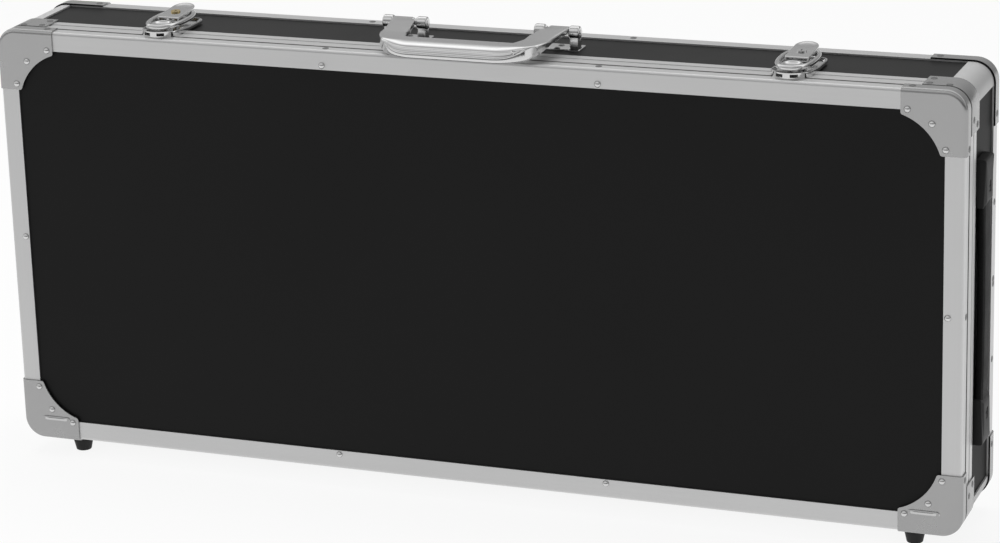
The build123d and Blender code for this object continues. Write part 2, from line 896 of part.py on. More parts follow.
def draw_ring(x):
    """Oval ring: a dished front, and a window around the lever behind it."""
    dish_radius = ring_radius - dish_wall
    front_centre = ring_front + ring_radius
    window_radius = ring_window_width / 2
    window_rear = ring_rear - ring_rear_bar
    top_plane = Plane((x, front_y, top_z + ring_underside + ring_height))
    with BuildPart() as ring:
        with BuildSketch(Plane((x, front_y, top_z + ring_underside))):
            with Locations((0, (ring_front + ring_rear) / 2)):
                SlotOverall(ring_rear - ring_front, ring_width, rotation=90)
        extrude(amount=ring_height)
        fillet(ring.faces().sort_by(Axis.Z)[-1].edges(), ring_rounding)
        with BuildSketch(top_plane):
            with Locations((0, front_centre)):
                Circle(dish_radius)
            with Locations((0, (front_centre + ring_window_front) / 2)):
                Rectangle(2 * dish_radius, ring_window_front - front_centre)
        extrude(amount=-(ring_height - dish_floor), mode=Mode.SUBTRACT)
        with BuildSketch(top_plane):
            with Locations((0, window_rear - window_radius)):
                Circle(window_radius)
            with Locations((0, (ring_window_front + window_rear - window_radius) / 2)):
                Rectangle(ring_window_width, window_rear - window_radius - ring_window_front)
        extrude(amount=-2 * ring_height, mode=Mode.SUBTRACT)
        middle = (x, front_y + pivot_depth_ring, top_z + pivot_height_ring)
        with Locations(Location(middle, (0, 90, 0))):
            Cylinder(ring_pin_radius + pin_clearance, 2 * ring_width, mode=Mode.SUBTRACT)
    return ring.part


def ring_pins(x):
    """The two pins in the lever's cheeks on which the draw ring turns."""
    length = ring_radius - 2 * fit - flange_inner
    with BuildPart() as pins:
        for side in (-1, 1):
            centre = (
                x + side * (flange_inner + length / 2),
                front_y + pivot_depth_ring,
                top_z + pivot_height_ring,
            )
            with Locations(Location(centre, (0, 90, 0))):
                Cylinder(ring_pin_radius, length)
    return pins.part


def lock_cylinder(x):
    """Lock plug with a collar, a key slot and the cam under its end."""
    top = lock_plane(x)
    with BuildPart() as plug:
        with BuildSketch(top):
            Circle(lock_radius)
        extrude(amount=-lock_length)
        with BuildSketch(top):
            Circle(lock_collar_radius)
        extrude(amount=lock_collar_height)
        with BuildSketch(top.offset(-lock_length)):
            Circle(lock_cam_width / 2)
            with Locations((0, lock_cam_length / 2 - lock_cam_width / 4)):
                Rectangle(lock_cam_width, lock_cam_length - lock_cam_width / 2)
        extrude(amount=-lock_cam_thickness)
        with BuildSketch(top.offset(lock_collar_height)):
            Rectangle(key_slot_width, key_slot_length)
        extrude(amount=-key_slot_depth, mode=Mode.SUBTRACT)
    return plug.part


def keeper(x):
    """Catch on the lid: a crescent on a low curved wall with two windows in it."""
    outer_radius = ring_front + ring_radius - keeper_front
    reach = lid_depth - seam - keeper_front
    with BuildPart() as catch:
        with BuildSketch(Plane((x, front_y, top_z))) as crescent:
            with Locations((0, ring_front + ring_radius)):
                Circle(outer_radius)
            with Locations((0, keeper_front + reach / 2)):
                Rectangle(2 * outer_radius, reach, mode=Mode.INTERSECT)
        extrude(amount=keeper_height)
        with BuildSketch(Plane((x, front_y, top_z))):
            add(crescent.sketch_local)
            with Locations((0, ring_front + ring_radius)):
                Circle(outer_radius - keeper_leg, mode=Mode.INTERSECT)
        extrude(amount=keeper_height - keeper_top, mode=Mode.SUBTRACT)
        with BuildSketch(Plane((x, front_y, top_z), x_dir=(1, 0, 0), z_dir=(0, -1, 0))):
            for side in (-1, 1):
                with Locations((side * keeper_window_x, keeper_window_height)):
                    Rectangle(keeper_window_width, keeper_window_height)
        extrude(amount=-lid_depth, mode=Mode.SUBTRACT)
    return catch.part


latch_rivet_spots = []
for side_name, side in latch_sides:
    x = side * latch_x
    finish(latch_plate(x), f"latch_plate_{side_name}")
    finish(lever(x), f"lever_{side_name}")
    finish(draw_ring(x), f"draw_ring_{side_name}")
    finish(ring_pins(x), f"ring_pins_{side_name}")
    finish(lock_cylinder(x), f"lock_cylinder_{side_name}")
    finish(keeper(x), f"keeper_{side_name}")
    rivet_x = plate_width / 2 - plate_rim - latch_rivet_radius - fit
    for depth in (plate_front + latch_rivet_inset, plate_front + plate_length - latch_rivet_inset):
        latch_rivet_spots.append((x - rivet_x, front_y + depth, top_z + plate_thickness))
        latch_rivet_spots.append((x + rivet_x, front_y + depth, top_z + plate_thickness))

latch_rivet_head = dome(latch_rivet_radius, latch_rivet_height)
with BuildPart() as latch_rivets:
    with Locations(*latch_rivet_spots):
        add(latch_rivet_head)
finish(latch_rivets.part, "latch_rivets")

with BuildPart() as lever_pins:
    for side_name, side in latch_sides:
        middle = (side * latch_x, front_y + pivot_depth_lever, top_z + pivot_height_lever)
        with Locations(Location(middle, (0, 90, 0))):
            Cylinder(lever_pin_radius, lever_width)
finish(lever_pins.part, "lever_pins")

# ---------------------------------------------------------------- strap handle on the end
cap_front = lid_depth + front_rail_depth + cap_gap_to_rail
end_face = Plane(
    (case_width / 2 - wall_inset, front_y + cap_front + cap_width / 2, under_z),
    x_dir=(0, 1, 0),
    z_dir=(1, 0, 0),
)
cap_middles = (cap_low + cap_length / 2, cap_low + cap_spacing + cap_length / 2)
cap_screw_heights = (
    cap_low + cap_length - cap_recess_inset,
    cap_low + cap_spacing + cap_recess_inset,
)
strap_low = cap_low + cap_length + fit
strap_high = cap_low + cap_spacing - fit
strap_middle = (strap_low + strap_high) / 2
strap_length = strap_high - strap_low

with BuildPart() as strap_end_caps:
    with BuildSketch(end_face):
        for height in cap_middles:
            with Locations((0, height)):
                Rectangle(cap_width, cap_length)
    extrude(amount=cap_height)
    outer_faces = strap_end_caps.faces().group_by(Axis.X)[-1]
    chamfer(outer_faces.edges().filter_by(Axis.Y), cap_slope)
    outer_faces = strap_end_caps.faces().group_by(Axis.X)[-1]
    fillet(outer_faces.edges().filter_by(Axis.Z), cap_rounding)
    with BuildSketch(end_face.offset(cap_height)):
        for height in cap_screw_heights:
            with Locations((0, height)):
                Circle(cap_recess_radius)
    extrude(amount=-cap_recess, mode=Mode.SUBTRACT)
    with BuildSketch(end_face.offset(cap_height)):
        for height in cap_screw_heights:
            with Locations((0, height)):
                Circle(cap_screw_radius + fit)
    extrude(amount=-cap_height, mode=Mode.SUBTRACT)
    with BuildSketch(end_face.offset(strap_lift)):
        with Locations((0, strap_middle)):
            Rectangle(
                strap_tongue_width + 2 * fit,
                strap_length + 2 * strap_tongue_length + 2 * fit,
            )
    extrude(amount=strap_tongue_thickness + 2 * fit, mode=Mode.SUBTRACT)
finish(strap_end_caps.part, "strap_end_caps")

with BuildPart() as strap:
    with BuildSketch(end_face.offset(strap_lift)):
        with Locations((0, strap_middle)):
            Rectangle(strap_width, strap_length)
    extrude(amount=strap_thickness)
    long_edges = strap.faces().sort_by(Axis.X)[-1].edges().filter_by(Axis.Z)
    fillet(long_edges, strap_rounding)
    with BuildSketch(end_face.offset(strap_lift + fit)):
        with Locations((0, strap_middle)):
            Rectangle(strap_tongue_width, strap_length + 2 * strap_tongue_length)
    extrude(amount=strap_tongue_thickness)
finish(strap.part, "strap")

with BuildPart() as strap_screws:
    seat = end_face.offset(cap_height - cap_recess)
    with BuildSketch(seat):
        for height in cap_screw_heights:
            with Locations((0, height)):
                Circle(cap_screw_radius)
    extrude(amount=cap_recess - cap_height)
    with BuildSketch(seat):
        for height in cap_screw_heights:
            with Locations((0, height)):
                Circle(cap_recess_radius - 3 * fit)
    extrude(amount=cap_screw_head)
    with BuildSketch(seat.offset(cap_screw_head)):
        for height in cap_screw_heights:
            with Locations((0, height)):
                Rectangle(2 * cap_screw_radius, key_slot_width)
                Rectangle(key_slot_width, 2 * cap_screw_radius)
    extrude(amount=-cap_screw_head / 2, mode=Mode.SUBTRACT)
finish(strap_screws.part, "strap_screws")
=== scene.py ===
import math

import bmesh
import bpy
import numpy as np
from mathutils import Matrix, Vector


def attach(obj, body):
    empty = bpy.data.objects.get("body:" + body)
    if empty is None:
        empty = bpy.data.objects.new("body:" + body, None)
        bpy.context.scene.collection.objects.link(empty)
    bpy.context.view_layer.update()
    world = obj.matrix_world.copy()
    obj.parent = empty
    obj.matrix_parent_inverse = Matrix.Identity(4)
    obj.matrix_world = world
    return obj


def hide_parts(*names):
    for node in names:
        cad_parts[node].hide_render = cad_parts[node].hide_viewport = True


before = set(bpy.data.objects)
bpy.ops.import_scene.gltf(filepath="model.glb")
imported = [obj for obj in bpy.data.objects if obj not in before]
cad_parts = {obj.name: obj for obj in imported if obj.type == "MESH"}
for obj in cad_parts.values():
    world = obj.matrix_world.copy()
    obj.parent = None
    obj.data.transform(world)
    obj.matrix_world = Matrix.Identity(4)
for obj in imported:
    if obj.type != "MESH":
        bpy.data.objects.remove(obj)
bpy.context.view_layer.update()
print("frame loaded")

millimetre = 0.001  # shapes are worked out in millimetres, and a mesh is scaled to metres as it is made
mergeDistance = 2e-6  # metres
caseSize = {
    "width": 700.0, "height": 306.5, "under": 14.0, "front": -39.25,  # boards' frame, its ground gap and the lid's face
    "corner": 14.0, "sheet": 1.0,  # radius of the long edges and sheet of the corner pieces
}
halfWidth, halfHeight = caseSize["width"] / 2, caseSize["height"] / 2
caseTop = caseSize["under"] + caseSize["height"]
caseMiddle = caseSize["under"] + halfHeight


# shapes

def unit(v):
    # each vector divided by its own length
    v = np.asarray(v, float)
    return v / np.linalg.norm(v, axis=-1, keepdims=True)


def smooth(value, low, high):
    # eased step from 0 at low to 1 at high
    t = np.clip((np.asarray(value, float) - low) / (high - low), 0, 1)
    return t * t * (3 - 2 * t)


def through(value, pairs):
    # straight runs through (position, height) pairs, level beyond both ends
    return np.interp(value, *zip(*pairs))


def arc(centre, radius, start, stop, steps):
    # points on a circle: centre plus radius times (cosine, sine) of an even run of angles
    a = np.radians(np.linspace(start, stop, steps))
    return np.asarray(centre, float) + radius * np.stack([np.cos(a), np.sin(a)], -1)


def oval(reach, half, middle, power, steps=88):
    # closed curve through (+-half, middle) and (0, middle +- reach); a power over 2 makes it squarer than an ellipse
    a = np.linspace(0, 2 * math.pi, steps + 1)[:-1]
    across, along = np.cos(a), np.sin(a)
    return np.column_stack([half * np.sign(across) * np.abs(across) ** (2 / power),
                            middle + reach * np.sign(along) * np.abs(along) ** (2 / power)])


def box(width, length, centre=(0, 0)):
    # the four corners of a rectangle about its centre, anticlockwise
    return np.array([(-1, -1), (1, -1), (1, 1), (-1, 1)]) * (width / 2, length / 2) + centre


def roundedOutline(corners, radii, steps):
    # closed outline: each corner gives way to an arc that touches both its edges, all arcs at once
    p = np.asarray(corners, float)
    r = np.broadcast_to(np.asarray(radii, float), len(p))[:, None]
    a, b = unit(np.roll(p, 1, 0) - p), unit(np.roll(p, -1, 0) - p)
    turn = np.arccos(np.clip((a * b).sum(-1, keepdims=True), -1, 1))
    centre = p + unit(a + b) * r / np.sin(turn / 2)
    reach = r / np.tan(turn / 2)
    va, vb = p + a * reach - centre, p + b * reach - centre
    sweep = (math.pi - turn)[:, None]
    t = np.linspace(0, 1, steps)[None, :, None]
    bend = (np.sin((1 - t) * sweep) * va[:, None] + np.sin(t * sweep) * vb[:, None]) / np.sin(sweep)
    return (centre[:, None] + bend).reshape(-1, 2)


def inset(outline, amount):
    # moves every point of an anticlockwise outline inwards along the mitre of its two edges
    before = unit(outline - np.roll(outline, 1, 0))
    after = unit(np.roll(outline, -1, 0) - outline)
    n1 = np.stack([-before[:, 1], before[:, 0]], -1)
    n2 = np.stack([-after[:, 1], after[:, 0]], -1)
    return outline + amount * (n1 + n2) / (1 + (n1 * n2).sum(-1, keepdims=True))


def dense(outline, step):
    # adds even points along every long edge of an outline
    points = []
    for start, stop in zip(outline, np.roll(outline, -1, 0)):
        count = max(1, int(np.linalg.norm(stop - start) // step))
        points.append(start + (stop - start) * np.linspace(0, 1, count, endpoint=False)[:, None])
    return np.concatenate(points)


def level(outline, height):
    # an outline at one height
    return np.column_stack([outline, np.full(len(outline), height)])


def slab(outline, low, high, rim, foot=0.0, steps=5, rings=()):
    # plate on an outline: rows go up its wall, over a quarter round rim and, with rings, in towards the middle
    a = np.linspace(0, math.pi / 2, steps)
    rows = [(foot, low), (0, low + foot)] if foot else [(0, low)]
    rows += list(zip(rim * (1 - np.cos(a)), high - rim + rim * np.sin(a)))
    grid = [level(inset(outline, d), z) for d, z in rows]
    top = grid[-1]
    middle = top.mean(0)
    grid += [middle + (top - middle) * share for share in rings]
    return np.stack(grid)


def hoop(outer, inner, section):
    # ring between two outlines of as many points; the section gives (share inwards, height) round its closed loop
    s = np.asarray(section, float)
    flat = outer[None] + (inner - outer)[None] * s[:, :1, None]
    height = np.broadcast_to(s[:, 1, None, None], flat.shape[:2] + (1,))
    grid = np.concatenate([flat, height], -1)
    return np.concatenate([grid, grid[:1]])


def strip(outer, inner, shares, heights):
    # bar along a path: at each station its section runs from the outer point (share 0) to the inner (share 1)
    flat = outer[:, None] + (inner - outer)[:, None] * shares[..., None]
    return np.concatenate([flat, heights[..., None]], -1)


def turned(profile, sides):
    # (radius, height) points carried round the Z axis
    p = np.asarray(profile, float)
    a = np.linspace(0, 2 * math.pi, sides, endpoint=False)
    ring = np.stack([np.cos(a), np.sin(a)], -1)
    flat = p[:, 0, None, None] * ring[None]
    height = np.broadcast_to(p[:, 1, None, None], flat.shape[:2] + (1,))
    return np.concatenate([flat, height], -1)


def domeRows(radius, height, skirt=0.2, steps=6, sunk=0.3):
    # rivet head: a short upright skirt, then the cap of a ball; its foot is sunk into what carries it
    ball = (radius**2 + (height - skirt) ** 2) / (2 * (height - skirt))
    a = np.linspace(math.asin(radius / ball), 0.0, steps)
    rows = np.stack([ball * np.sin(a), height - ball + ball * np.cos(a)], -1)
    return np.concatenate([[[radius, -sunk]], rows])


def setAt(grid, place, along, up):
    # turns a shape so that its Z runs along up and its X along along, and moves it to its place
    z = unit(up)
    x = unit(np.asarray(along, float) - np.dot(along, z) * z)
    return np.asarray(grid) @ np.stack([x, np.cross(z, x), z]) + np.asarray(place, float)


def onTop(x, depth, height=0.0):
    # a point over the case's top, from its depth behind the lid's face and its height above the boards' frame
    return (x, caseSize["front"] + depth, caseTop + height)


def onSide(grid, x):
    # stands a shape drawn as (depth, height, thickness) on the case's top, with its thickness along X
    return setAt(grid, onTop(x, 0.0), (0, 1, 0), (1, 0, 0))


def gridFaces(rows, cols):
    # quads from each row of a grid to the next, the last column joining the first
    row = np.arange(rows - 1)[:, None] * cols
    col = np.arange(cols)[None, :]
    after = (col + 1) % cols
    return np.stack([row + col, row + after, row + cols + after, row + cols + col], -1).reshape(-1, 4)


class Pile:  # gathers grids of points and makes one mesh of them
    def __init__(self):
        self.points, self.faces, self.total = [], [], 0

    def add(self, grid, capped=True):
        rows, cols = grid.shape[:2]
        self.faces += (gridFaces(rows, cols) + self.total).tolist()
        if capped:
            self.faces.append((np.arange(cols)[::-1] + self.total).tolist())
            self.faces.append((np.arange(cols) + (rows - 1) * cols + self.total).tolist())
        self.points.append(grid.reshape(-1, 3))
        self.total += rows * cols
        return self

    def make(self, name, finish, body, slot, crease, instead=()):
        # doubles merged, faces turned outwards, and edges that bend more than the crease angle left sharp
        mesh = bpy.data.meshes.new(name)
        mesh.from_pydata((np.concatenate(self.points) * millimetre).tolist(), [], self.faces)
        work = bmesh.new()
        work.from_mesh(mesh)
        bmesh.ops.remove_doubles(work, verts=work.verts, dist=mergeDistance)
        bmesh.ops.recalc_face_normals(work, faces=work.faces)
        work.to_mesh(mesh)
        work.free()
        mesh.shade_smooth()
        mesh.set_sharp_from_angle(angle=math.radians(crease))
        mesh.materials.append(finish.material)
        piece = bpy.data.objects.new(name, mesh)
        bpy.context.scene.collection.objects.link(piece)
        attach(piece, body)
        if instead:
            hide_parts(*instead)
        return piece


# finishes

class Wire:  # one node output that takes part in sums
    def __init__(self, tree, socket):
        self.tree, self.socket = tree, socket

    def maths(self, operation, *values):
        return addNode(self.tree, "ShaderNodeMath", {"operation": operation}, dict(enumerate(values)))

    def __add__(self, other): return self.maths("ADD", self, other)
    def __radd__(self, other): return self.maths("ADD", other, self)
    def __sub__(self, other): return self.maths("SUBTRACT", self, other)
    def __rsub__(self, other): return self.maths("SUBTRACT", other, self)
    def __mul__(self, other): return self.maths("MULTIPLY", self, other)
    def __rmul__(self, other): return self.maths("MULTIPLY", other, self)
    def __truediv__(self, other): return self.maths("DIVIDE", self, other)
    def __rpow__(self, other): return self.maths("POWER", other, self)

    def clamp(self, low=0.0, high=1.0):
        return self.maths("MAXIMUM", self.maths("MINIMUM", self, high), low)

    def hump(self, centre, width):
        # bell of height 1: e to the minus square of the distance from the centre, in widths
        return math.e ** ((self - centre) * (centre - self) / (width * width))


def addNode(tree, kind, settings=None, sockets=None, output=0):
    node = tree.nodes.new(kind)
    for key, value in (settings or {}).items():
        setattr(node, key, value)
    for key, value in (sockets or {}).items():
        if isinstance(value, Wire):
            tree.links.new(value.socket, node.inputs[key])
        else:
            node.inputs[key].default_value = value
    return Wire(tree, node.outputs[output])


class Finish:  # a Principled material with its own short words for coordinates, noise and bump
    words = {
        "colour": "Base Color", "roughness": "Roughness", "metallic": "Metallic", "normal": "Normal",
        "specular": "Specular IOR Level", "ior": "IOR", "sheen": "Sheen Weight",
    }

    def __init__(self, name, **constants):
        self.material = bpy.data.materials.new(name)
        self.material.use_nodes = True
        self.tree = self.material.node_tree
        self.tree.nodes.clear()
        self.shader = self.tree.nodes.new("ShaderNodeBsdfPrincipled")
        out = self.tree.nodes.new("ShaderNodeOutputMaterial")
        self.tree.links.new(self.shader.outputs[0], out.inputs[0])
        for key, value in constants.items():
            self.shader.inputs[self.words[key]].default_value = value

    def feed(self, **wires):
        for key, wire in wires.items():
            self.tree.links.new(wire.socket, self.shader.inputs[self.words[key]])
        return self

    def node(self, kind, settings=None, sockets=None, output=0):
        return addNode(self.tree, kind, settings, sockets, output)

    def place(self, stretch=1.0):
        # object coordinates in metres times a stretch, one number or one for each axis
        spot = self.node("ShaderNodeTexCoord", output="Object")
        stretch = np.broadcast_to(stretch, 3).tolist()
        return self.node("ShaderNodeVectorMath", {"operation": "MULTIPLY"}, {0: spot, 1: stretch})

    def noise(self, stretch, detail=2.0, roughness=0.5):
        return self.node("ShaderNodeTexNoise", {"noise_dimensions": "3D"}, {
            "Vector": self.place(stretch), "Scale": 1.0, "Detail": detail, "Roughness": roughness})

    def cells(self, stretch, feature="F1"):
        return self.node("ShaderNodeTexVoronoi", {"feature": feature}, {"Vector": self.place(stretch), "Scale": 1.0})

    def blend(self, share, first, second):  # of colours, on the Mix node's own colour sockets
        return self.node("ShaderNodeMix", {"data_type": "RGBA"}, {0: share, 6: first, 7: second}, 2)

    def shades(self, share, look):  # from a finish's darker grey to its colour
        return self.blend(share, grey(look["darker"]), grey(look["colour"]))

    def bump(self, height, distance, strength):
        return self.node("ShaderNodeBump", None, {"Height": height, "Distance": distance, "Strength": strength})


def grey(shade, warm=0.0):
    # one shade on all three colours, with red raised and blue lowered by the share warm
    return (shade * (1 + warm), shade, shade * (1 - warm), 1.0)


def acrossLines(f, depths, width):
    # 1 on thin lines round the case at these depths behind the lid's face, fading to 0 over the width in metres; the
    # finishes use it to place painted shade and a painted highlight
    depth = f.node("ShaderNodeSeparateXYZ", None, {"Vector": f.place()}, "Y")
    return sum(depth.hump((caseSize["front"] + line) * millimetre, width) for line in depths).clamp()


def railFinish(name, along):
    # anodised extrusion: fine die lines that run along the rail, faint cloudiness and a few rubbed streaks
    look = {
        "colour": 0.73, "darker": 0.66, "warm": 0.004, "rough": 0.47, "lineRough": 0.12, "cloudRough": 0.1,
        "lines": 1500.0, "linesAlong": 5.0, "streaks": 260.0, "streaksAlong": 3.0, "clouds": 9.0, "relief": 0.00003,
        "face": 0.595, "faceDepth": -0.2, "faceWidth": 0.0007,  # painted shade: the front face is painted a little darker
        "paintedEdgeHighlight": 0.97, "edgeHighlightShare": 0.08, "highlightDepth": 1.1, "highlightWidth": 0.0012,  # painted highlight: the round edge is painted paler
        "joint": 0.004, "seamShadeDepth": 10.4, "seamShadeWidth": 0.0014,  # painted shade: a dark line painted where lid and base meet
    }
    lines, streaks = [look["lines"]] * 3, [look["streaks"]] * 3
    lines[along], streaks[along] = look["linesAlong"], look["streaksAlong"]
    f = Finish(name, specular=0.0)
    fine = f.noise(lines, 3.0)
    broad = f.noise(streaks)
    cloud = f.noise(look["clouds"], 3.0, 0.6)
    # painted shade: mask for the darker paint on the front face
    face = acrossLines(f, [look["faceDepth"]], look["faceWidth"])
    # painted highlight: mask for the paler paint along the round edge
    edge = acrossLines(f, [look["highlightDepth"]], look["highlightWidth"])
    # painted shade: mask for the dark line painted along the seam, where the metal is also made non-metallic
    joint = acrossLines(f, [look["seamShadeDepth"]], look["seamShadeWidth"])
    mark = (broad * 0.6 + cloud * 0.4).clamp()
    skin = f.blend(mark, grey(look["darker"], -look["warm"]), grey(look["colour"], look["warm"]))
    skin = f.blend(face, skin, grey(look["face"]))
    skin = f.blend(edge * look["edgeHighlightShare"], skin, grey(look["paintedEdgeHighlight"]))
    return f.feed(colour=f.blend(joint, skin, grey(look["joint"])), metallic=1 - joint,
                  roughness=look["rough"] + (fine - 0.5) * look["lineRough"] + (cloud - 0.5) * look["cloudRough"],
                  normal=f.bump(fine, look["relief"], 0.5))


def pressedFinish(name, colour, rough, metal=1.0):
    # pressed sheet: satin grain without direction, rubbed paler in patches
    look = {
        "darker": 0.88, "cloudRough": 0.16, "grain": 2200.0, "clouds": 40.0, "relief": 0.00002,
        "joint": 0.004, "seamShadeDepths": (10.4, 79.0), "seamShadeWidth": 0.0011,  # painted shade: dark lines painted where the case's frames meet
    }
    f = Finish(name, specular=0.0)
    grain = f.noise(look["grain"])
    cloud = f.noise(look["clouds"], 4.0, 0.6)
    # painted shade: mask for the dark lines painted along the gaps between the frames
    joint = acrossLines(f, look["seamShadeDepths"], look["seamShadeWidth"])
    skin = f.blend(cloud, grey(colour * look["darker"]), grey(colour))
    return f.feed(colour=f.blend(joint, skin, grey(look["joint"])), metallic=metal * (1 - joint),
                  roughness=rough + (cloud - 0.5) * look["cloudRough"], normal=f.bump(grain, look["relief"], 0.6))


def laminateFinish(name, gloss):
    # near-black laminate over board: a fine pebbled skin, soft blotches of gloss and a little dust
    look = {
        "colour": 0.0052, "dust": 0.016, "dusty": 0.35, "rough": 0.46, "blotchRough": 0.16,
        "pebbles": 1300.0, "ripples": 420.0, "blotches": 7.0, "specks": 310.0, "relief": 0.00012,
    }
    f = Finish(name, specular=gloss, ior=1.5)
    height = f.cells(look["pebbles"]) * 0.6 + f.noise(look["ripples"], 3.0, 0.6) * 0.4
    blotch = f.noise(look["blotches"], 4.0, 0.55)
    dust = ((f.noise(look["specks"], 5.0, 0.75) - 0.62) * 5.0).clamp()
    return f.feed(colour=f.blend(dust * look["dusty"], grey(look["colour"]), grey(look["dust"])),
                  roughness=look["rough"] + (blotch - 0.5) * look["blotchRough"],
                  normal=f.bump(height, look["relief"], 0.35))


def chromeFinish():
    # bright plate on the latches: almost smooth, with fine rubbing marks
    look = {
        "colour": 0.70, "darker": 0.58, "rough": 0.16, "rubRough": 0.12, "cloudRough": 0.1,
        "rubs": (900.0, 160.0, 900.0), "clouds": 90.0, "relief": 0.00002,
    }
    f = Finish("brightChrome", metallic=1.0)
    rub = f.noise(look["rubs"], 3.0, 0.6)
    cloud = f.noise(look["clouds"], 3.0)
    return f.feed(colour=f.shades(cloud, look),
                  roughness=look["rough"] + (rub - 0.5) * look["rubRough"] + (cloud - 0.5) * look["cloudRough"],
                  normal=f.bump(rub, look["relief"], 0.3))


def handleFinish():
    # polished casting: long streaks along the grip and a softer satin on the flat arms
    look = {
        "colour": 0.74, "darker": 0.60, "rough": 0.19, "streakRough": 0.16, "cloudRough": 0.08,
        "streaks": (14.0, 700.0, 700.0), "clouds": 70.0, "relief": 0.00004,
    }
    f = Finish("polishedHandle", metallic=1.0)
    streak = f.noise(look["streaks"], 3.0, 0.6)
    cloud = f.noise(look["clouds"], 3.0)
    return f.feed(colour=f.shades(cloud * 0.5 + streak * 0.5, look),
                  roughness=look["rough"] + (streak - 0.5) * look["streakRough"] + (cloud - 0.5) * look["cloudRough"],
                  normal=f.bump(streak, look["relief"], 0.5))


def brassFinish():
    # lock plug: brass that varies from dull to bright
    look = {"colour": (0.68, 0.55, 0.28, 1.0), "darker": (0.46, 0.34, 0.14, 1.0), "rough": 0.2, "clouds": 500.0}
    f = Finish("lockBrass", metallic=1.0)
    cloud = f.noise(look["clouds"], 3.0)
    return f.feed(colour=f.blend(cloud, look["darker"], look["colour"]), roughness=look["rough"] + cloud * 0.15)


def steelFinish(name, shade, rough):
    # rivets, pins and screws: steel with a slightly grainy head
    look = {"darker": 0.82, "grainRough": 0.14, "grain": 1500.0, "clouds": 120.0}
    f = Finish(name, metallic=1.0)
    grain = f.noise(look["grain"])
    cloud = f.noise(look["clouds"])
    return f.feed(colour=f.blend(cloud, grey(shade * look["darker"]), grey(shade)),
                  roughness=rough + grain * look["grainRough"])


def rubberFinish():
    # feet: dull moulded rubber with a fine grain
    look = {"colour": 0.014, "darker": 0.006, "rough": 0.5, "grain": 1400.0, "clouds": 160.0, "relief": 0.0001}
    f = Finish("blackRubber", specular=0.35)
    grain = f.noise(look["grain"], 3.0)
    cloud = f.noise(look["clouds"], 3.0)
    return f.feed(colour=f.shades(cloud, look), roughness=look["rough"] + cloud * 0.2,
                  normal=f.bump(grain, look["relief"], 0.4))


def plasticFinish():
    # moulded end caps: fine spark-eroded grain, a little paler where hands rub it
    look = {"colour": 0.018, "darker": 0.007, "rough": 0.42, "grain": 1100.0, "clouds": 60.0, "relief": 0.00012}
    f = Finish("blackPlastic", specular=0.22)
    grain = f.cells(look["grain"])
    cloud = f.noise(look["clouds"], 4.0)
    return f.feed(colour=f.shades(cloud, look), roughness=look["rough"] + cloud * 0.16,
                  normal=f.bump(grain, look["relief"], 0.5))


def strapFinish():
    # strap skin: leather-like grain of small cells with creases between them
    look = {"colour": 0.009, "darker": 0.003, "rough": 0.4, "grain": 620.0, "clouds": 45.0, "relief": 0.00012}
    f = Finish("blackStrap", specular=0.07)
    crease = (f.cells(look["grain"], "DISTANCE_TO_EDGE") * 6.0).clamp()
    cloud = f.noise(look["clouds"], 4.0)
    return f.feed(colour=f.shades(crease, look), roughness=look["rough"] + cloud * 0.22,
                  normal=f.bump(crease, look["relief"], 0.5))


def foamFinish():
    # charcoal foam: open cells as pits between soft walls, with painted shade making the pits dark
    look = {"colour": 0.052, "darker": 0.018, "pits": 900.0, "grain": 2600.0, "clouds": 16.0, "relief": 0.0008}
    f = Finish("charcoalFoam", specular=0.1, roughness=0.95, sheen=0.15)
    pits = (f.cells(look["pits"]) * 1.3).clamp()
    fine = f.noise(look["grain"], 3.0, 0.7)
    cloud = f.noise(look["clouds"], 3.0)
    # painted shade: the colour darkens into each pit
    return f.feed(colour=f.shades(pits * 0.7 + cloud * 0.3, look),
                  normal=f.bump(pits * 0.6 + fine * 0.4, look["relief"], 0.7))


railAcross = railFinish("aluminiumAcross", 0)
railUpright = railFinish("aluminiumUpright", 2)
pressed = pressedFinish("pressedAluminium", 0.42, 0.25, 0.8)
# painted light: a paler, half diffuse copy of the pressed sheet, so the curved corner sheets look lit where their gloss
# sees only the dim right side
litSheet = pressedFinish("litCurvedSheet", 0.62, 0.40, 0.5)
# painted highlight: a paler copy of the pressed sheet, so the corner ridges read as bright streaks
ridge = pressedFinish("litPressedRidge", 0.60, 0.16)
laminate = laminateFinish("blackLaminate", 0.16)
dullLaminate = laminateFinish("dullLaminate", 0.05)
chrome = chromeFinish()
polished = handleFinish()
brass = brassFinish()
steel = steelFinish("brightSteel", 0.72, 0.12)
# painted shade: a dark, rougher copy of the bright steel, so the low edge rivets look shaded; the bracket screws wear
# it too
dullShadedSteel = steelFinish("dullShadedSteel", 0.20, 0.3)
rubber = rubberFinish()
plastic = plasticFinish()
strapSkin = strapFinish()
foam = foamFinish()

finishedNodes = (  # starts of node names: the longest one that fits a node gives its finish
    (laminate, ("lid_panel", "back_panel", "wall")),
    (dullLaminate, ("wall_left", "wall_right")),
    (railAcross, ("lid_rail", "front_rail", "rear_rail")),
    (railUpright, [f"{rails}_rail_{edge}" for rails in ("lid", "front", "rear") for edge in ("left", "right")]),
    (pressed, ("lid_corner", "front_corners", "rear_corners")),
    (litSheet, ("corner_sheet",)),
    (steel, ("lid_rivets", "latch_rivets", "foot_screws", "hinge_pins", "lever_pins", "handle_pins", "ring_pins",
             "lid_hinge", "base_hinge", "lock_cylinder_right")),
    (dullShadedSteel, ("handle_bracket_screws",)),
    (brass, ("lock_cylinder_left",)),
    (chrome, ("keeper", "latch_plate", "lever_left", "lever_right", "draw_ring")),
    (polished, ("handle_brackets", "handle_bail")),
    (rubber, ("feet",)),
    (plastic, ("strap_end_caps", "strap_screws")),
    (strapSkin, ("strap",)),
    (foam, ("lid_foam", "floor_foam", "wall_foam")),
)
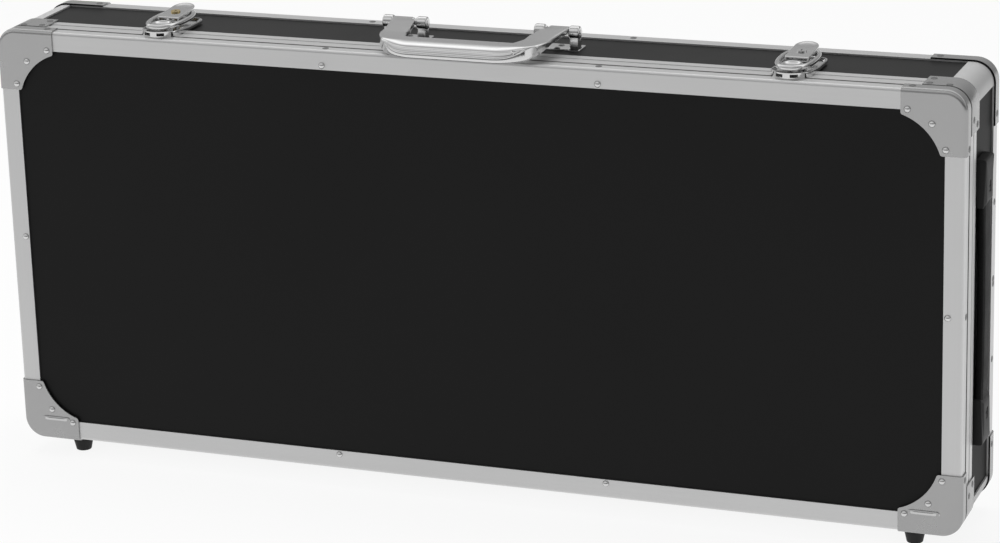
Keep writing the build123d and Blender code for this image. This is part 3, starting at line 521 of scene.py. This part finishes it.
nodeFinishes = {start: finish for finish, starts in finishedNodes for start in starts}
for nodeName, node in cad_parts.items():
    key = max((start for start in nodeFinishes if nodeName.startswith(start)), key=len)
    node.data.materials.clear()
    node.data.materials.append(nodeFinishes[key].material)
print("finishes given")


# carrying handle

def handlePaths(look):
    # front and rear edges of its right half, seen from above: straight grip, sweep, arm, and the eye round its pin
    sweepStart = look["shoulder"] - look["sweep"]
    bendDepth = look["front"] + look["sweep"]
    s = np.linspace(0, 1, 9)[:-1]
    t = np.linspace(0, 1, 22)
    share, rearX, rearDepth = zip(*look["rearSweep"])
    bend = arc((sweepStart, bendDepth), look["sweep"], -90, 0, 22)
    chord = (sweepStart, look["front"]) + t[:, None] * look["sweep"]
    turn = np.linspace(0, math.pi / 2, 7)[1:]
    depth = np.concatenate([look["armRows"], look["eyeDepth"] + look["eye"] * np.sin(turn)])
    outer = [np.stack([sweepStart * s, np.full_like(s, look["front"])], -1),
             bend + (chord - bend) * look["straighter"],
             np.stack([through(depth, look["armFront"]), depth], -1)]
    inner = [np.stack([rearX[0] * s, np.full_like(s, rearDepth[0])], -1),
             np.stack([np.interp(t, share, rearX), np.interp(t, share, rearDepth)], -1),
             np.stack([through(depth, look["armRear"]), depth], -1)]
    return np.concatenate(outer), np.concatenate(inner)


def handleSection(look, d, width):
    # section at each depth of the front edge: a crown that falls to the front with fine flutes in it, a rounded foot
    # and two small rear rims; it thins and flattens from the grip to the arms, and closes round the pin
    beyond = np.clip((d - look["eyeDepth"]) / look["eye"], 0, 1)
    rise = np.interp(d, [look["armHigh"], look["eyeDepth"]], [look["high"], look["eyeHeight"] + look["eye"]])
    high = np.where(d > look["eyeDepth"], look["eyeHeight"] + look["eye"] * np.sqrt(1 - beyond**2), rise)
    under = look["eyeHeight"] - np.sqrt(np.clip(look["eye"] ** 2 - (d - look["eyeDepth"]) ** 2, 0, None))
    low = look["low"] + (high - look["plate"] - look["low"]) * smooth(d, *look["thins"])
    low = np.where(d > look["eyeDepth"] - look["eye"], np.minimum(low, under), low)
    low = np.where(d > look["eyeDepth"], under, low)
    flat = smooth(d, *look["flattens"])
    crown = look["crown"] + (look["flatCrown"] - look["crown"]) * flat
    drop = np.minimum(look["drop"] + (look["flatDrop"] - look["drop"]) * flat, (high - low) * 0.8)
    flute = look["flute"] * (1 - smooth(d, *look["flutesEnd"]))
    a = np.linspace(0, math.pi / 2, 30)  # along the crown, from its flat rear strip to the front
    run = np.clip((a - look["firstFlute"]) / (a[-1] - look["firstFlute"]), 0, 1)
    wave = (0.5 - 0.5 * np.cos(2 * math.pi * look["flutes"] * run))[None]
    b = np.linspace(0, math.pi / 2, 6)[None]  # round the foot and each rim
    foot = np.minimum((high - low) * 0.25, look["foot"])
    rim = np.minimum((high - low) * 0.12, look["rim"])
    shares = [crown * (1 - np.sin(a)) + flute * wave * np.sin(a) / width, foot / width * (1 - np.cos(b)),
              1 - rim / width * (1 - np.sin(b)), 1 - rim / width * (1 - np.cos(b))]
    heights = [high - drop + drop * np.cos(a) - flute * wave * np.cos(a), low + foot * (1 - np.sin(b)),
               low + rim * (1 - np.cos(b)), high - rim * (1 - np.sin(b))]
    return np.concatenate(shares, 1), np.concatenate(heights, 1)


def makeHandle():
    # the section carried along both halves of the path, with a sleeve on each pin and a small plug by the right arm
    look = {
        "front": -15.5, "low": 2.3, "high": 12.6, "plate": 4.0, "sweep": 30.0, "shoulder": 61.0,
        "straighter": 0.22,  # how far the sweep leaves its round bend for the chord
        "rearSweep": ((0.0, 36.0, 5.0), (0.3, 38.6, 5.0), (0.36, 39.1, 5.4), (1.0, 42.4, 14.5)),  # share, x, depth
        "armFront": ((22.0, 61.0), (42.4, 64.4)),  # depth, x
        "armRear": ((14.5, 42.4), (17.0, 43.0), (23.5, 43.2), (42.4, 47.2), (43.6, 50.4)),
        "armRows": (15.6, 16.8, 18.0, 19.2, 21.0, 24.0, 28.0, 33.0, 38.0, 42.4, 43.6, 44.4, 45.2, 46.0, 47.0),
        "armHigh": 15.0, "thins": (-6.0, 17.0), "flattens": (-15.0, -1.0), "flutesEnd": (-8.0, 9.0),  # depths
        "crown": 0.62, "flatCrown": 0.06, "drop": 7.6, "flatDrop": 1.0,
        "flute": 0.2, "flutes": 4, "firstFlute": 0.75, "foot": 2.4, "rim": 0.5,
        "eyeDepth": 47.0, "eyeHeight": 12.0, "eye": 3.2, "sleeveX": 47.0,
        "plugAt": (44.6, -9.2, 9.9), "plugOut": (0.25, -0.55, 0.8),
    }
    outer, inner = handlePaths(look)
    shares, heights = handleSection(look, outer[:, 1:], np.linalg.norm(inner - outer, axis=-1, keepdims=True))
    outer, inner = (np.concatenate([path[:0:-1] * (-1, 1), path]) for path in (outer, inner))
    shares, heights = (np.concatenate([half[:0:-1], half]) for half in (shares, heights))
    pile = Pile().add(strip(outer, inner, shares, heights) + onTop(0, 0))
    sleeve = turned([(0, 0), (2.4, 0), (2.7, 0.3), (2.7, 1.2), (2.2, 1.5), (2.2, 2.1), (2.7, 2.4), (2.7, 3.8),
                     (0, 3.8)], 28)
    for side in (-1, 1):
        spot = onTop(side * look["sleeveX"], look["eyeDepth"], look["eyeHeight"])
        pile.add(setAt(sleeve, spot, (0, 1, 0), (side, 0, 0)))
    plug = turned([(0, 0.0), (0.8, 0.0), (1.0, 0.5), (1.5, 0.6), (1.9, 0.25), (1.9, -0.6), (0, -0.6)], 20)
    pile.add(setAt(plug, onTop(*look["plugAt"]), (1, 0, 0), look["plugOut"]))
    pile.make("carrying_handle", polished, "handle", "chrome", 40, ["handle_bail"])


def makeBrackets():
    # on each side two barrels turned about the handle's pin, each on its upright neck, and one base plate
    look = {
        "lugs": (43.2, 68.2), "width": 7.4, "pivot": (47.0, 11.35),
        "barrel": ((0.0, 0.0), (3.4, 0.0), (4.1, 0.18), (4.45, 0.6), (4.6, 1.2)),  # radius, in from its end
        "neck": ((43.0, -0.4), (51.2, -0.4), (50.2, 12.0), (43.8, 12.0)), "neckRadii": (0.3, 0.3, 1.0, 1.0),
        "neckInset": 0.5, "neckRim": 0.9,
        "plateBeyond": 0.3, "plateFront": 43.5, "plateLength": 14.5, "plateThick": 1.4, "plateSunk": 1.3,
    }
    half = look["width"] / 2
    end = np.array(look["barrel"])
    barrel = turned(np.concatenate([end - (0, half), end[::-1] * (1, -1) + (0, half)]), 44)
    neck = slab(roundedOutline(look["neck"], look["neckRadii"], 4), -half + look["neckInset"],
                half - look["neckInset"], look["neckRim"], look["neckRim"])
    inside = look["lugs"][0] - half - look["plateBeyond"]
    outside = look["lugs"][1] + half + look["plateBeyond"]
    outline = roundedOutline(box(outside - inside, look["plateLength"]), 1.2, 5)
    plate = slab(outline, 0, look["plateThick"], 0.5)
    plateDepth = look["plateFront"] + look["plateLength"] / 2
    pile = Pile()
    for side in (-1, 1):
        for x in look["lugs"]:
            pile.add(setAt(barrel, onTop(side * x, *look["pivot"]), (0, 1, 0), (1, 0, 0)))
            pile.add(onSide(neck, side * x))
        pile.add(plate + onTop(side * (inside + outside) / 2, plateDepth, -look["plateSunk"]))
    pile.make("handle_lugs", polished, "base", "chrome", 40, ["handle_brackets"])


# draw latches

def makeRing(side, x):
    # oval ring with a rolled section, and a pressed floor inside its front with a raised arc round the middle
    look = {
        "front": 6.3, "rear": 59.0, "half": 13.5, "frontWall": 3.4, "rearWall": 3.2, "sideWall": 3.4, "power": 2.35,
        "section": ((0.0, 5.6), (0.0, 6.9), (0.05, 7.5), (0.16, 8.0), (0.32, 8.3), (0.5, 8.4), (0.68, 8.25),
                    (0.84, 7.8), (0.95, 7.1), (1.0, 6.4), (0.98, 5.6), (0.85, 5.2), (0.15, 5.2), (0.03, 5.4)),
        "floorReach": 10.0, "floorDepth": 18.0, "floorPower": 2.2, "tucked": 0.4, "hub": (0.0, 18.4),
        "floor": ((0.2, 5.3), (1.0, 5.3), (0.98, 6.0), (0.93, 6.15), (0.86, 6.1), (0.79, 6.25), (0.73, 6.8),
                  (0.68, 7.25), (0.62, 7.4), (0.57, 7.2), (0.52, 6.75), (0.46, 6.3), (0.4, 6.15), (0.2, 6.1)),
    }
    front, rear, half = look["front"], look["rear"], look["half"]
    low, high = front + look["frontWall"], rear - look["rearWall"]
    opening = half - look["sideWall"]
    outer = oval((rear - front) / 2, half, (front + rear) / 2, look["power"])
    inner = oval((high - low) / 2, opening, (low + high) / 2, look["power"])
    pile = Pile().add(hoop(outer, inner, look["section"]) + onTop(x, 0), False)
    edge = oval(look["floorReach"], opening + look["tucked"], look["floorDepth"], look["floorPower"], 72)
    hub = np.array(look["hub"])
    rows = [level(hub + (edge - hub) * share, height) for share, height in look["floor"]]
    pile.add(np.stack(rows) + onTop(x, 0))
    pile.make(f"pull_ring_{side}", chrome, f"ring_{side}", "chrome", 40, [f"draw_ring_{side}"])


def makeLever(side, x):
    # sheet that leans up to the rear, with a shallow round pad for the lock, and a cheek down each side
    look = {
        "width": 16.4, "front": 28.4, "rear": 61.0, "sheet": 1.2, "radii": (0.9, 0.9, 7.9, 7.9),
        "rim": 0.5, "foot": 0.3, "rings": (0.92, 0.8, 0.6, 0.35, 0.12),
        "lean": ((28.4, 9.0), (53.0, 10.81), (55.7, 11.03), (58.0, 11.4), (61.0, 11.9)),  # depth, height
        "padDepth": 54.2, "padHalf": (6.2, 5.6), "padEdge": (1.1, 0.8), "padSunk": 0.35,
        "cheek": 1.4, "cheekRim": 0.4, "cheekRadii": (1.4, 2.0, 1.2, 0.8, 0.5),
        "cheekCorners": ((27.9, 5.6), (30.5, 3.0), (41.0, 4.6), (50.0, 9.6), (28.4, 8.2)),
    }
    half, rim = look["width"] / 2, look["cheekRim"]
    middle = (look["front"] + look["rear"]) / 2
    outline = roundedOutline(box(look["width"], look["rear"] - look["front"], (0, middle)), look["radii"], 16)
    top = slab(outline, 0, look["sheet"], look["rim"], look["foot"], 5, look["rings"])
    fromPad = np.hypot(top[..., 0] / look["padHalf"][0], (top[..., 1] - look["padDepth"]) / look["padHalf"][1])
    pad = smooth(fromPad, *look["padEdge"]) * look["padSunk"] * (top[..., 2] > 0.9)  # in the upper face alone
    top[..., 2] += through(top[..., 1], look["lean"]) - look["sheet"] - pad
    cheek = slab(roundedOutline(look["cheekCorners"], look["cheekRadii"], 6), 0, look["cheek"], rim, rim)
    pile = Pile().add(top + onTop(x, 0))
    pile.add(onSide(cheek, x - half))
    pile.add(onSide(cheek, x + half - look["cheek"]))
    pile.make(f"latch_lever_{side}", chrome, f"lever_{side}", "chrome", 40, [f"lever_{side}"])


def makeTray(side, x):
    # base plate of the latch: a floor in a rolled rim that follows the ring's round front and gets lower to the rear
    look = {
        "front": 10.9, "rear": 57.0, "nose": 13.9, "noseDepth": 17.5, "side": 14.7, "rim": 1.5, "tail": 5.5,
        "flank": (14.4, 26.0), "widest": 32.0, "tall": ((17.0, 3.7), (34.0, 2.4)),  # depth, times the section
        "section": ((0.0, -1.1), (0.0, 0.6), (0.06, 0.85), (0.3, 1.0), (0.6, 0.97), (0.9, 0.7), (1.0, 0.4),
                    (1.0, -1.1)),
        "floor": 1.05, "floorRim": 0.2, "earRim": 0.35, "earThick": 1.4, "earsAt": (-5.9, 4.5),
        "ear": ((29.8, 0.6), (34.5, 0.6), (32.2, 6.6), (29.8, 6.6)), "earRadii": (0.3, 0.3, 1.2, 0.9),
    }
    tail, ears = look["tail"], look["ear"]
    start = math.degrees(math.asin((look["noseDepth"] - look["front"]) / look["nose"]))
    outline = np.concatenate([
        arc((0, look["noseDepth"]), look["nose"], -start, 0, 9),
        [look["flank"], (look["side"], look["widest"])],
        arc((look["side"] - tail, look["rear"] - tail), tail, 0, 90, 10),
        arc((tail - look["side"], look["rear"] - tail), tail, 90, 180, 10),
        [(-look["side"], look["widest"]), (-look["flank"][0], look["flank"][1])],
        arc((0, look["noseDepth"]), look["nose"], 180, 180 + start, 9),
    ])
    rim = hoop(outline, inset(outline, look["rim"]), look["section"])
    rim[..., 2] = np.where(rim[..., 2] > 0, rim[..., 2] * through(rim[..., 1], look["tall"]), 0.0)
    floor = slab(inset(outline, look["rim"] * 0.5), 0.0, look["floor"], look["floorRim"])
    pile = Pile().add(rim + onTop(x, 0), False).add(floor + onTop(x, 0))
    ear = slab(roundedOutline(ears, look["earRadii"], 6), 0, look["earThick"], look["earRim"], look["earRim"])
    for low in look["earsAt"]:
        pile.add(onSide(ear, x + low))
    pile.make(f"latch_tray_{side}", chrome, "base", "chrome", 40, [f"latch_plate_{side}"])


def makeLatches():
    # one shape at two mirrored places
    for side, x in (("left", -229.0), ("right", 229.0)):
        makeRing(side, x)
        makeLever(side, x)
        makeTray(side, x)


# rivets and corner pieces

def makeRivets():
    # domes on the lid's face: three in each corner piece, and six along the rails
    look = {
        "radius": 2.4, "height": 1.9, "inset": 10.8, "middle": 100.0,
        "corner": ((38.7, 13.2), (22.4, 22.0), (13.2, 38.9)),  # in from the case's side, in from its top or bottom
    }
    front = caseSize["front"]
    dome = turned(domeRows(look["radius"], look["height"]), 22)
    pile = Pile()
    for sideX in (-1, 1):
        spots = []
        for sideZ in (-1, 1):
            spots += [(sideX * (halfWidth - inX), front - caseSize["sheet"], caseMiddle + sideZ * (halfHeight - inZ))
                      for inX, inZ in look["corner"]]
            spots.append((sideX * look["middle"], front, caseMiddle + sideZ * (halfHeight - look["inset"])))
        spots.append((sideX * (halfWidth - look["inset"]), front, caseMiddle))
        for spot in spots:
            pile.add(setAt(dome, spot, (1, 0, 0), (0, -1, 0)))
    pile.make("face_rivets", steel, "lid", "bright_steel", 40, ["lid_rivets"])


def makeEdgeRivets():
    # low heads on the flanges that wrap over the edges, on the top, the bottom and the right end
    look = {"radius": 2.3, "height": 0.55, "skirt": 0.12, "flange": 1.0, "bareDepth": 30.0}
    spots = {  # (x, depth) on the top and bottom, (down from the top or up from the bottom, depth) on the end
        "lid": {"flange": ((313.0, 5.6),), "rail": ((99.0, 6.0),), "end": ((39.0, 5.6),), "endRail": ((153.25, 6.0),)},
        "base": {"flange": ((322.0, 15.0), (322.0, 27.0), (335.6, 13.4), (312.0, 85.0)), "rail": ((97.0, 85.0),),
                 "end": ((23.0, 18.0), (28.0, 28.0), (36.0, 85.0)), "endRail": ((97.5, 85.0), (151.5, 85.0))},
    }
    head = turned(domeRows(look["radius"], look["height"], look["skirt"], 5), 20)
    for body, groups in spots.items():
        pile = Pile()
        for group in ("flange", "rail"):
            lift = look["flange"] if group == "flange" else 0.0
            for x, depth in groups[group]:
                bare = body == "base" and group == "flange" and depth < look["bareDepth"]  # under the front straps
                for side in (-1, 1):
                    pile.add(setAt(head, onTop(side * x, depth, lift), (1, 0, 0), (0, 0, 1)))
                    if not bare:
                        spot = (side * x, caseSize["front"] + depth, caseSize["under"] - lift)
                        pile.add(setAt(head, spot, (1, 0, 0), (0, 0, -1)))
        for group in ("end", "endRail"):
            lift = look["flange"] if group == "end" else 0.0
            for inZ, depth in groups[group]:
                for z in {caseTop - inZ, caseSize["under"] + inZ}:  # a set, as the middle rivet's two heights are one
                    pile.add(setAt(head, (halfWidth + lift, caseSize["front"] + depth, z), (0, 1, 0), (1, 0, 0)))
        # painted shade: the edge rivets wear the dark copy of the steel
        pile.make(f"edge_rivets_{body}", dullShadedSteel, body, "bright_steel", 40)


def makeBeads():
    # narrow pressed ridge in each lower corner piece: its outline shrinks by a cosine as its height grows by a sine
    look = {
        "length": 22.6, "width": 3.0, "height": 0.95, "inX": 25.5, "inZ": 15.0,
        "ridge": 0.35, "sharpness": 0.02, "sunk": 0.3,  # length left at the top, least width there, foot below the face
    }
    radius = look["width"] / 2 - look["sharpness"]
    edge = roundedOutline(box(look["length"], look["width"]), radius, 7)
    rows = []
    for a in np.linspace(0, 1, 9) * math.pi / 2:
        shrink = math.cos(a)
        narrow = (look["ridge"] + (1 - look["ridge"]) * shrink, max(shrink, look["sharpness"]))
        rows.append(level(edge * narrow, look["height"] * math.sin(a)))
    grid = np.stack([rows[0] - (0, 0, look["sunk"])] + rows)
    pile = Pile()
    for side in (-1, 1):
        spot = (side * (halfWidth - look["inX"]), caseSize["front"] - caseSize["sheet"],
                caseSize["under"] + look["inZ"])
        pile.add(setAt(grid, spot, (1, 0, 0), (0, -1, 0)))
    # painted highlight: the ridges wear the paler copy of the pressed sheet
    pile.make("corner_ridges", ridge, "lid", "pressed_aluminium", 50)


def makeFrontStraps():
    # flat strap bent round each front corner of the base, its two long edges rounded over
    look = {"along": 32.0, "beside": 27.6, "front": 10.4, "deep": 22.5, "thick": 1.0, "rim": 0.5}
    a = np.linspace(0, math.pi / 2, 5)
    rim, radius = look["rim"], caseSize["corner"]
    low, high = look["front"], look["front"] + look["deep"]
    shares = np.concatenate([rim * (1 - np.sin(a)), rim * (1 - np.sin(a[::-1])), [1.0, 1.0]])
    depths = np.concatenate([low + rim * (1 - np.cos(a)), high - rim * (1 - np.cos(a[::-1])), [high, low]])

    def path(lift, reach):
        # along the top to the round corner and down the end, raised off the boards by lift
        bend = arc((halfWidth - radius, halfHeight - radius), radius + lift, 90, 0, 15)
        start, stop = (halfWidth - reach, halfHeight + lift), (halfWidth + lift, halfHeight - look["along"])
        return np.concatenate([[start], bend, [stop]])

    pile = Pile()
    for sideX in (-1, 1):
        for sideZ in (-1, 1):
            reach = look["along"] if sideZ > 0 else look["beside"]
            outer, inner = (path(lift, reach) * (sideX, sideZ) for lift in (look["thick"], 0.0))
            grid = strip(outer, inner, np.tile(shares, (len(outer), 1)), np.tile(depths, (len(outer), 1)))
            pile.add(np.stack([grid[..., 0], caseSize["front"] + grid[..., 2], caseMiddle + grid[..., 1]], -1))
    pile.make("front_straps", pressed, "base", "pressed_aluminium", 50, ["front_corners"])


# strap handle on the right end

strapPlace = {
    "board": 348.7, "front": 35.1, "width": 23.0, "lowCap": 52.5, "highCap": 218.5,
    "capLength": 33.4, "capHeight": 7.0, "screwFromStrap": 13.0,
}


def onEnd(grid, low):
    # lays a shape drawn as (depth, height, outwards) on the right end, its middle line at the strap's depth
    depth = caseSize["front"] + strapPlace["front"] + strapPlace["width"] / 2
    return setAt(grid, (strapPlace["board"], depth, caseSize["under"] + low), (0, 1, 0), (1, 0, 0))


def makeCaps():
    # slab with a round recess for its screw, whose face falls away at both ends, more beside the strap
    look = {
        "recess": 4.3, "depth": 1.6, "screw": 1.7, "lip": 0.5, "rim": 0.9, "radius": 1.6,
        "faceRings": (0.3, 0.6, 0.85),
        "slope": 2.4, "slopeRun": (-1.0, 5.0), "farSlope": 0.8, "farRun": (-0.5, 2.5),
    }
    long, high, fromStrap = strapPlace["capLength"], strapPlace["capHeight"], strapPlace["screwFromStrap"]
    recess, bottom = look["recess"], high - look["depth"]
    well = ((recess + look["lip"], high), (recess + 0.15, high - 0.12), (recess, high - 0.4), (recess, bottom),
            (look["screw"], bottom))  # radius, height
    pile = Pile()
    for low, screw, strapAbove in ((strapPlace["lowCap"], long - fromStrap, True),
                                   (strapPlace["highCap"], fromStrap, False)):
        outline = roundedOutline(box(strapPlace["width"], long, (0, long / 2)), look["radius"], 8)
        rows = slab(outline, 0.0, high, look["rim"], 0.0, 7)
        top = rows[-1][:, :2]
        around = unit(top - (0, screw))
        lip = (0, screw) + around * (recess + look["lip"])
        face = [level(top + (lip - top) * share, high) for share in look["faceRings"]]
        rows = np.concatenate([rows, face, [level((0, screw) + around * radius, z) for radius, z in well]])
        toStrap = (long - rows[..., 1]) if strapAbove else rows[..., 1]
        fall = look["slope"] * (1 - smooth(toStrap, *look["slopeRun"]))
        fall = fall + look["farSlope"] * (1 - smooth(long - toStrap, *look["farRun"]))
        rows[..., 2] -= fall * np.clip(rows[..., 2] / high, 0, 1)
        pile.add(onEnd(rows, low))
    pile.make("strap_caps", plastic, "base", "black_plastic", 42, ["strap_end_caps"])


def makeStrap():
    # rounded bar: a superellipse flatter below than above, with a shallow groove in from each edge, that arches a
    # little between the caps and is slimmer at its middle and ends
    look = {
        "width": 22.0, "lift": 0.6, "thick": 5.3, "arch": 0.55, "under": 2.0, "slimmer": 0.25, "ends": 0.5,
        "sidePower": 0.45, "upPower": 0.62, "downPower": 0.3, "groove": 0.32, "grooveAt": 0.80, "grooveWidth": 0.035,
    }
    low = strapPlace["lowCap"] + strapPlace["capLength"] - look["under"]
    high = strapPlace["highCap"] + look["under"]
    t = np.linspace(0, 1, 61)
    half = look["width"] / 2 - look["slimmer"] * np.sin(math.pi * t)
    half = half - look["ends"] * (1 - smooth(np.minimum(t, 1 - t), 0.0, 0.02))
    a = np.linspace(0, 2 * math.pi, 57)[:-1]
    c, s = np.cos(a), np.sin(a)
    across = np.sign(c) * np.abs(c) ** look["sidePower"]
    up = np.where(s > 0, np.abs(s) ** look["upPower"], -np.abs(s) ** look["downPower"])
    groove = look["groove"] * np.exp(-(((np.abs(across) - look["grooveAt"]) / look["grooveWidth"]) ** 2)) * (s > 0)
    crown = 0.5 + 0.5 * up - groove / look["thick"]
    height = look["lift"] + look["thick"] * crown[None] + look["arch"] * np.sin(math.pi * t)[:, None]
    along = np.broadcast_to((low + (high - low) * t)[:, None], height.shape)
    pile = Pile().add(onEnd(np.stack([half[:, None] * across[None], along, height], -1), 0.0))
    pile.make("strap_handle", strapSkin, "base", "black_strap", 60, ["strap"])


# foam pads

def crownedPad(outline, thick, crown, pinch=0.6):
    # pad on an outline: soft rolled edge, sides that pull in a little and a face that swells to its middle
    a = np.linspace(0, math.pi / 2, 6)
    roll = min(thick * 0.45, 1.6)
    edge = thick - crown - roll
    rows = [(pinch, 0.0), (0.0, thick * 0.35), (0.0, edge)]
    rows += list(zip(roll * (1 - np.cos(a)), edge + roll * np.sin(a)))
    grid = [level(inset(outline, d), z) for d, z in rows]
    top = grid[-1]
    middle = top.mean(0)
    for share in (0.97, 0.93, 0.86, 0.74, 0.58, 0.4, 0.2, 0.05):
        ring = middle + (top - middle) * share
        ring[:, 2] = thick - crown + crown * (1 - share**3)
        grid.append(ring)
    return np.stack(grid)


def makePads():
    # crowned pads: one on the lid's panel, one on the back panel, and one inside each board
    look = {
        "step": 9.0,
        "lid": {"inset": 9.3, "radius": 5.0, "thick": 3.0, "crown": 0.5, "depth": 5.42, "toward": 1},
        "floor": {"inset": 8.7, "radius": 4.0, "thick": 10.0, "crown": 1.2, "depth": 86.6, "toward": -1},
        "wall": {"inset": 8.5, "radius": 1.5, "thick": 2.9, "crown": 0.5, "pinch": 0.4, "front": 23.0, "rear": 75.9,
                 "shorter": 7.0},
    }
    wide, tall = caseSize["width"], caseSize["height"]
    for name, body in (("lid", "lid"), ("floor", "base")):
        pad = look[name]
        outline = box(wide - 2 * pad["inset"], tall - 2 * pad["inset"])
        grid = crownedPad(dense(roundedOutline(outline, pad["radius"], 6), look["step"]), pad["thick"], pad["crown"])
        spot = (0, caseSize["front"] + pad["depth"], caseMiddle)
        pile = Pile().add(setAt(grid, spot, (-pad["toward"], 0, 0), (0, pad["toward"], 0)))
        pile.make(f"{name}_pad", foam, body, "foam", 50, [f"{name}_foam"])
    pad = look["wall"]
    middle = np.array([0, caseSize["front"] + (pad["front"] + pad["rear"]) / 2, caseMiddle])
    pile = Pile()
    for out, reach, length in (((0, 0, -1), tall, wide), ((0, 0, 1), tall, wide),
                               ((-1, 0, 0), wide, tall), ((1, 0, 0), wide, tall)):
        out = np.array(out, float)
        outline = box(length - 2 * pad["inset"] - pad["shorter"], pad["rear"] - pad["front"])
        flat = dense(roundedOutline(outline, pad["radius"], 5), look["step"])
        grid = crownedPad(flat, pad["thick"], pad["crown"], pad["pinch"])
        pile.add(setAt(grid, middle + out * (reach / 2 - pad["inset"]), np.cross((0, 1, 0), -out), -out))
    pile.make("wall_pads", foam, "base", "foam", 50, ["wall_foam"])


makeHandle()
makeBrackets()
makeLatches()
print("handle and latches made")
makeRivets()
makeEdgeRivets()
makeBeads()
makeFrontStraps()
print("rivets, ridges and front straps made")
makeCaps()
makeStrap()
makePads()
print("strap and pads made")


# camera, floor and light

cameraPlace = {
    "spot": (0.83549, -2.13261, 0.89644), "azimuth": 21.13, "elevation": 17.88, "roll": -1.729,
    "lens": 123.99, "sensor": 36.0, "far": 50.0,
}
camera = bpy.data.objects.new("camera", bpy.data.cameras.new("camera"))
bpy.context.scene.collection.objects.link(camera)
camera.data.sensor_width = cameraPlace["sensor"]
camera.data.lens = cameraPlace["lens"]
camera.data.clip_end = cameraPlace["far"]
azimuth, elevation, roll = (math.radians(cameraPlace[key]) for key in ("azimuth", "elevation", "roll"))
camera.matrix_world = (Matrix.Translation(cameraPlace["spot"]) @ Matrix.Rotation(azimuth, 4, "Z")
                       @ Matrix.Rotation(math.pi / 2 - elevation, 4, "X") @ Matrix.Rotation(roll, 4, "Z"))
bpy.context.scene.camera = camera
bpy.context.scene.view_settings.view_transform = "Standard"


def lightPath(tree, kind):
    return addNode(tree, "ShaderNodeLightPath", output=kind)


studio = {  # what gloss sees round the case: centre, spread in radians from the front horizon over the top, weight
    "fill": 0.55, "plain": 0.53, "rearBox": (2.12, 0.32, 1.4), "frontBox": (1.0, 0.38, 0.6),
    "blackCard": (0.36, 0.13, 0.30), "rightDimming": 0.34, "rightSlope": 1.2, "least": 0.03, "most": 3.0,
}
world = bpy.data.worlds.new("softStudio")
bpy.context.scene.world = world
world.use_nodes = True
tree = world.node_tree
tree.nodes.clear()
heading = addNode(tree, "ShaderNodeTexCoord", output="Generated")
right, rear, up = (addNode(tree, "ShaderNodeSeparateXYZ", None, {"Vector": heading}, axis) for axis in "XYZ")
over = up.maths("ARCTAN2", up, 0 - rear)
gloss = studio["plain"]
for key, sign in (("rearBox", 1), ("frontBox", 1), ("blackCard", -1)):
    centre, spread, weight = studio[key]
    gloss = gloss + sign * weight * over.hump(centre, spread)
gloss = gloss - studio["rightDimming"] * (right * studio["rightSlope"]).clamp()
gloss = gloss.clamp(studio["least"], studio["most"])
rayCamera, rayGloss = lightPath(tree, "Is Camera Ray"), lightPath(tree, "Is Glossy Ray")
strength = rayCamera + (1 - rayCamera) * (rayGloss * gloss + (1 - rayGloss) * studio["fill"])  # white to the camera
background = tree.nodes.new("ShaderNodeBackground")
tree.links.new(strength.socket, background.inputs["Strength"])
worldOut = tree.nodes.new("ShaderNodeOutputWorld")
tree.links.new(background.outputs[0], worldOut.inputs[0])

floorLook = {"half": 9.0, "shade": 0.82, "glow": 0.89}
floorMesh = bpy.data.meshes.new("floor")
floorCorners = np.column_stack([box(2 * floorLook["half"], 2 * floorLook["half"]), np.zeros(4)])
floorMesh.from_pydata(floorCorners.tolist(), [], [(0, 1, 2, 3)])
floor = bpy.data.objects.new("floor", floorMesh)
bpy.context.scene.collection.objects.link(floor)
floorPaint = bpy.data.materials.new("paleFloor")
floorPaint.use_nodes = True
tree = floorPaint.node_tree
tree.nodes.clear()
matt = addNode(tree, "ShaderNodeBsdfDiffuse", None, {"Color": grey(floorLook["shade"])})
glow = addNode(tree, "ShaderNodeEmission", None, {"Color": grey(1.0), "Strength": 1.0})
seen = sum(lightPath(tree, kind) for kind in ("Is Camera Ray", "Is Glossy Ray", "Is Transmission Ray")).clamp()
floorShader = addNode(tree, "ShaderNodeMixShader", None, {0: seen * floorLook["glow"], 1: matt, 2: glow})
floorOut = tree.nodes.new("ShaderNodeOutputMaterial")
tree.links.new(floorShader.socket, floorOut.inputs[0])
floorMesh.materials.append(floorPaint)

lamps = {
    "topBox": {"at": (-0.2, 0.35, 2.3), "toward": (0, 0, 0.2), "size": (2.2, 1.2), "power": 34.0},
    "leftBox": {"at": (-2.2, -1.6, 1.6), "toward": (0, 0, 0.16), "size": (1.4, 1.4), "power": 22.0},
}
for lampName, lamp in lamps.items():
    light = bpy.data.lights.new(lampName, "AREA")
    light.shape = "RECTANGLE"
    light.size, light.size_y = lamp["size"]
    light.energy = lamp["power"]
    holder = bpy.data.objects.new(lampName, light)
    bpy.context.scene.collection.objects.link(holder)
    aim = unit(np.subtract(lamp["toward"], lamp["at"]))
    holder.location = lamp["at"]
    holder.rotation_mode = "QUATERNION"
    holder.rotation_quaternion = Vector(aim).to_track_quat("-Z", "Y")
    holder.visible_glossy = False  # gloss sees the studio's boxes in their place
print("camera, floor and light set")
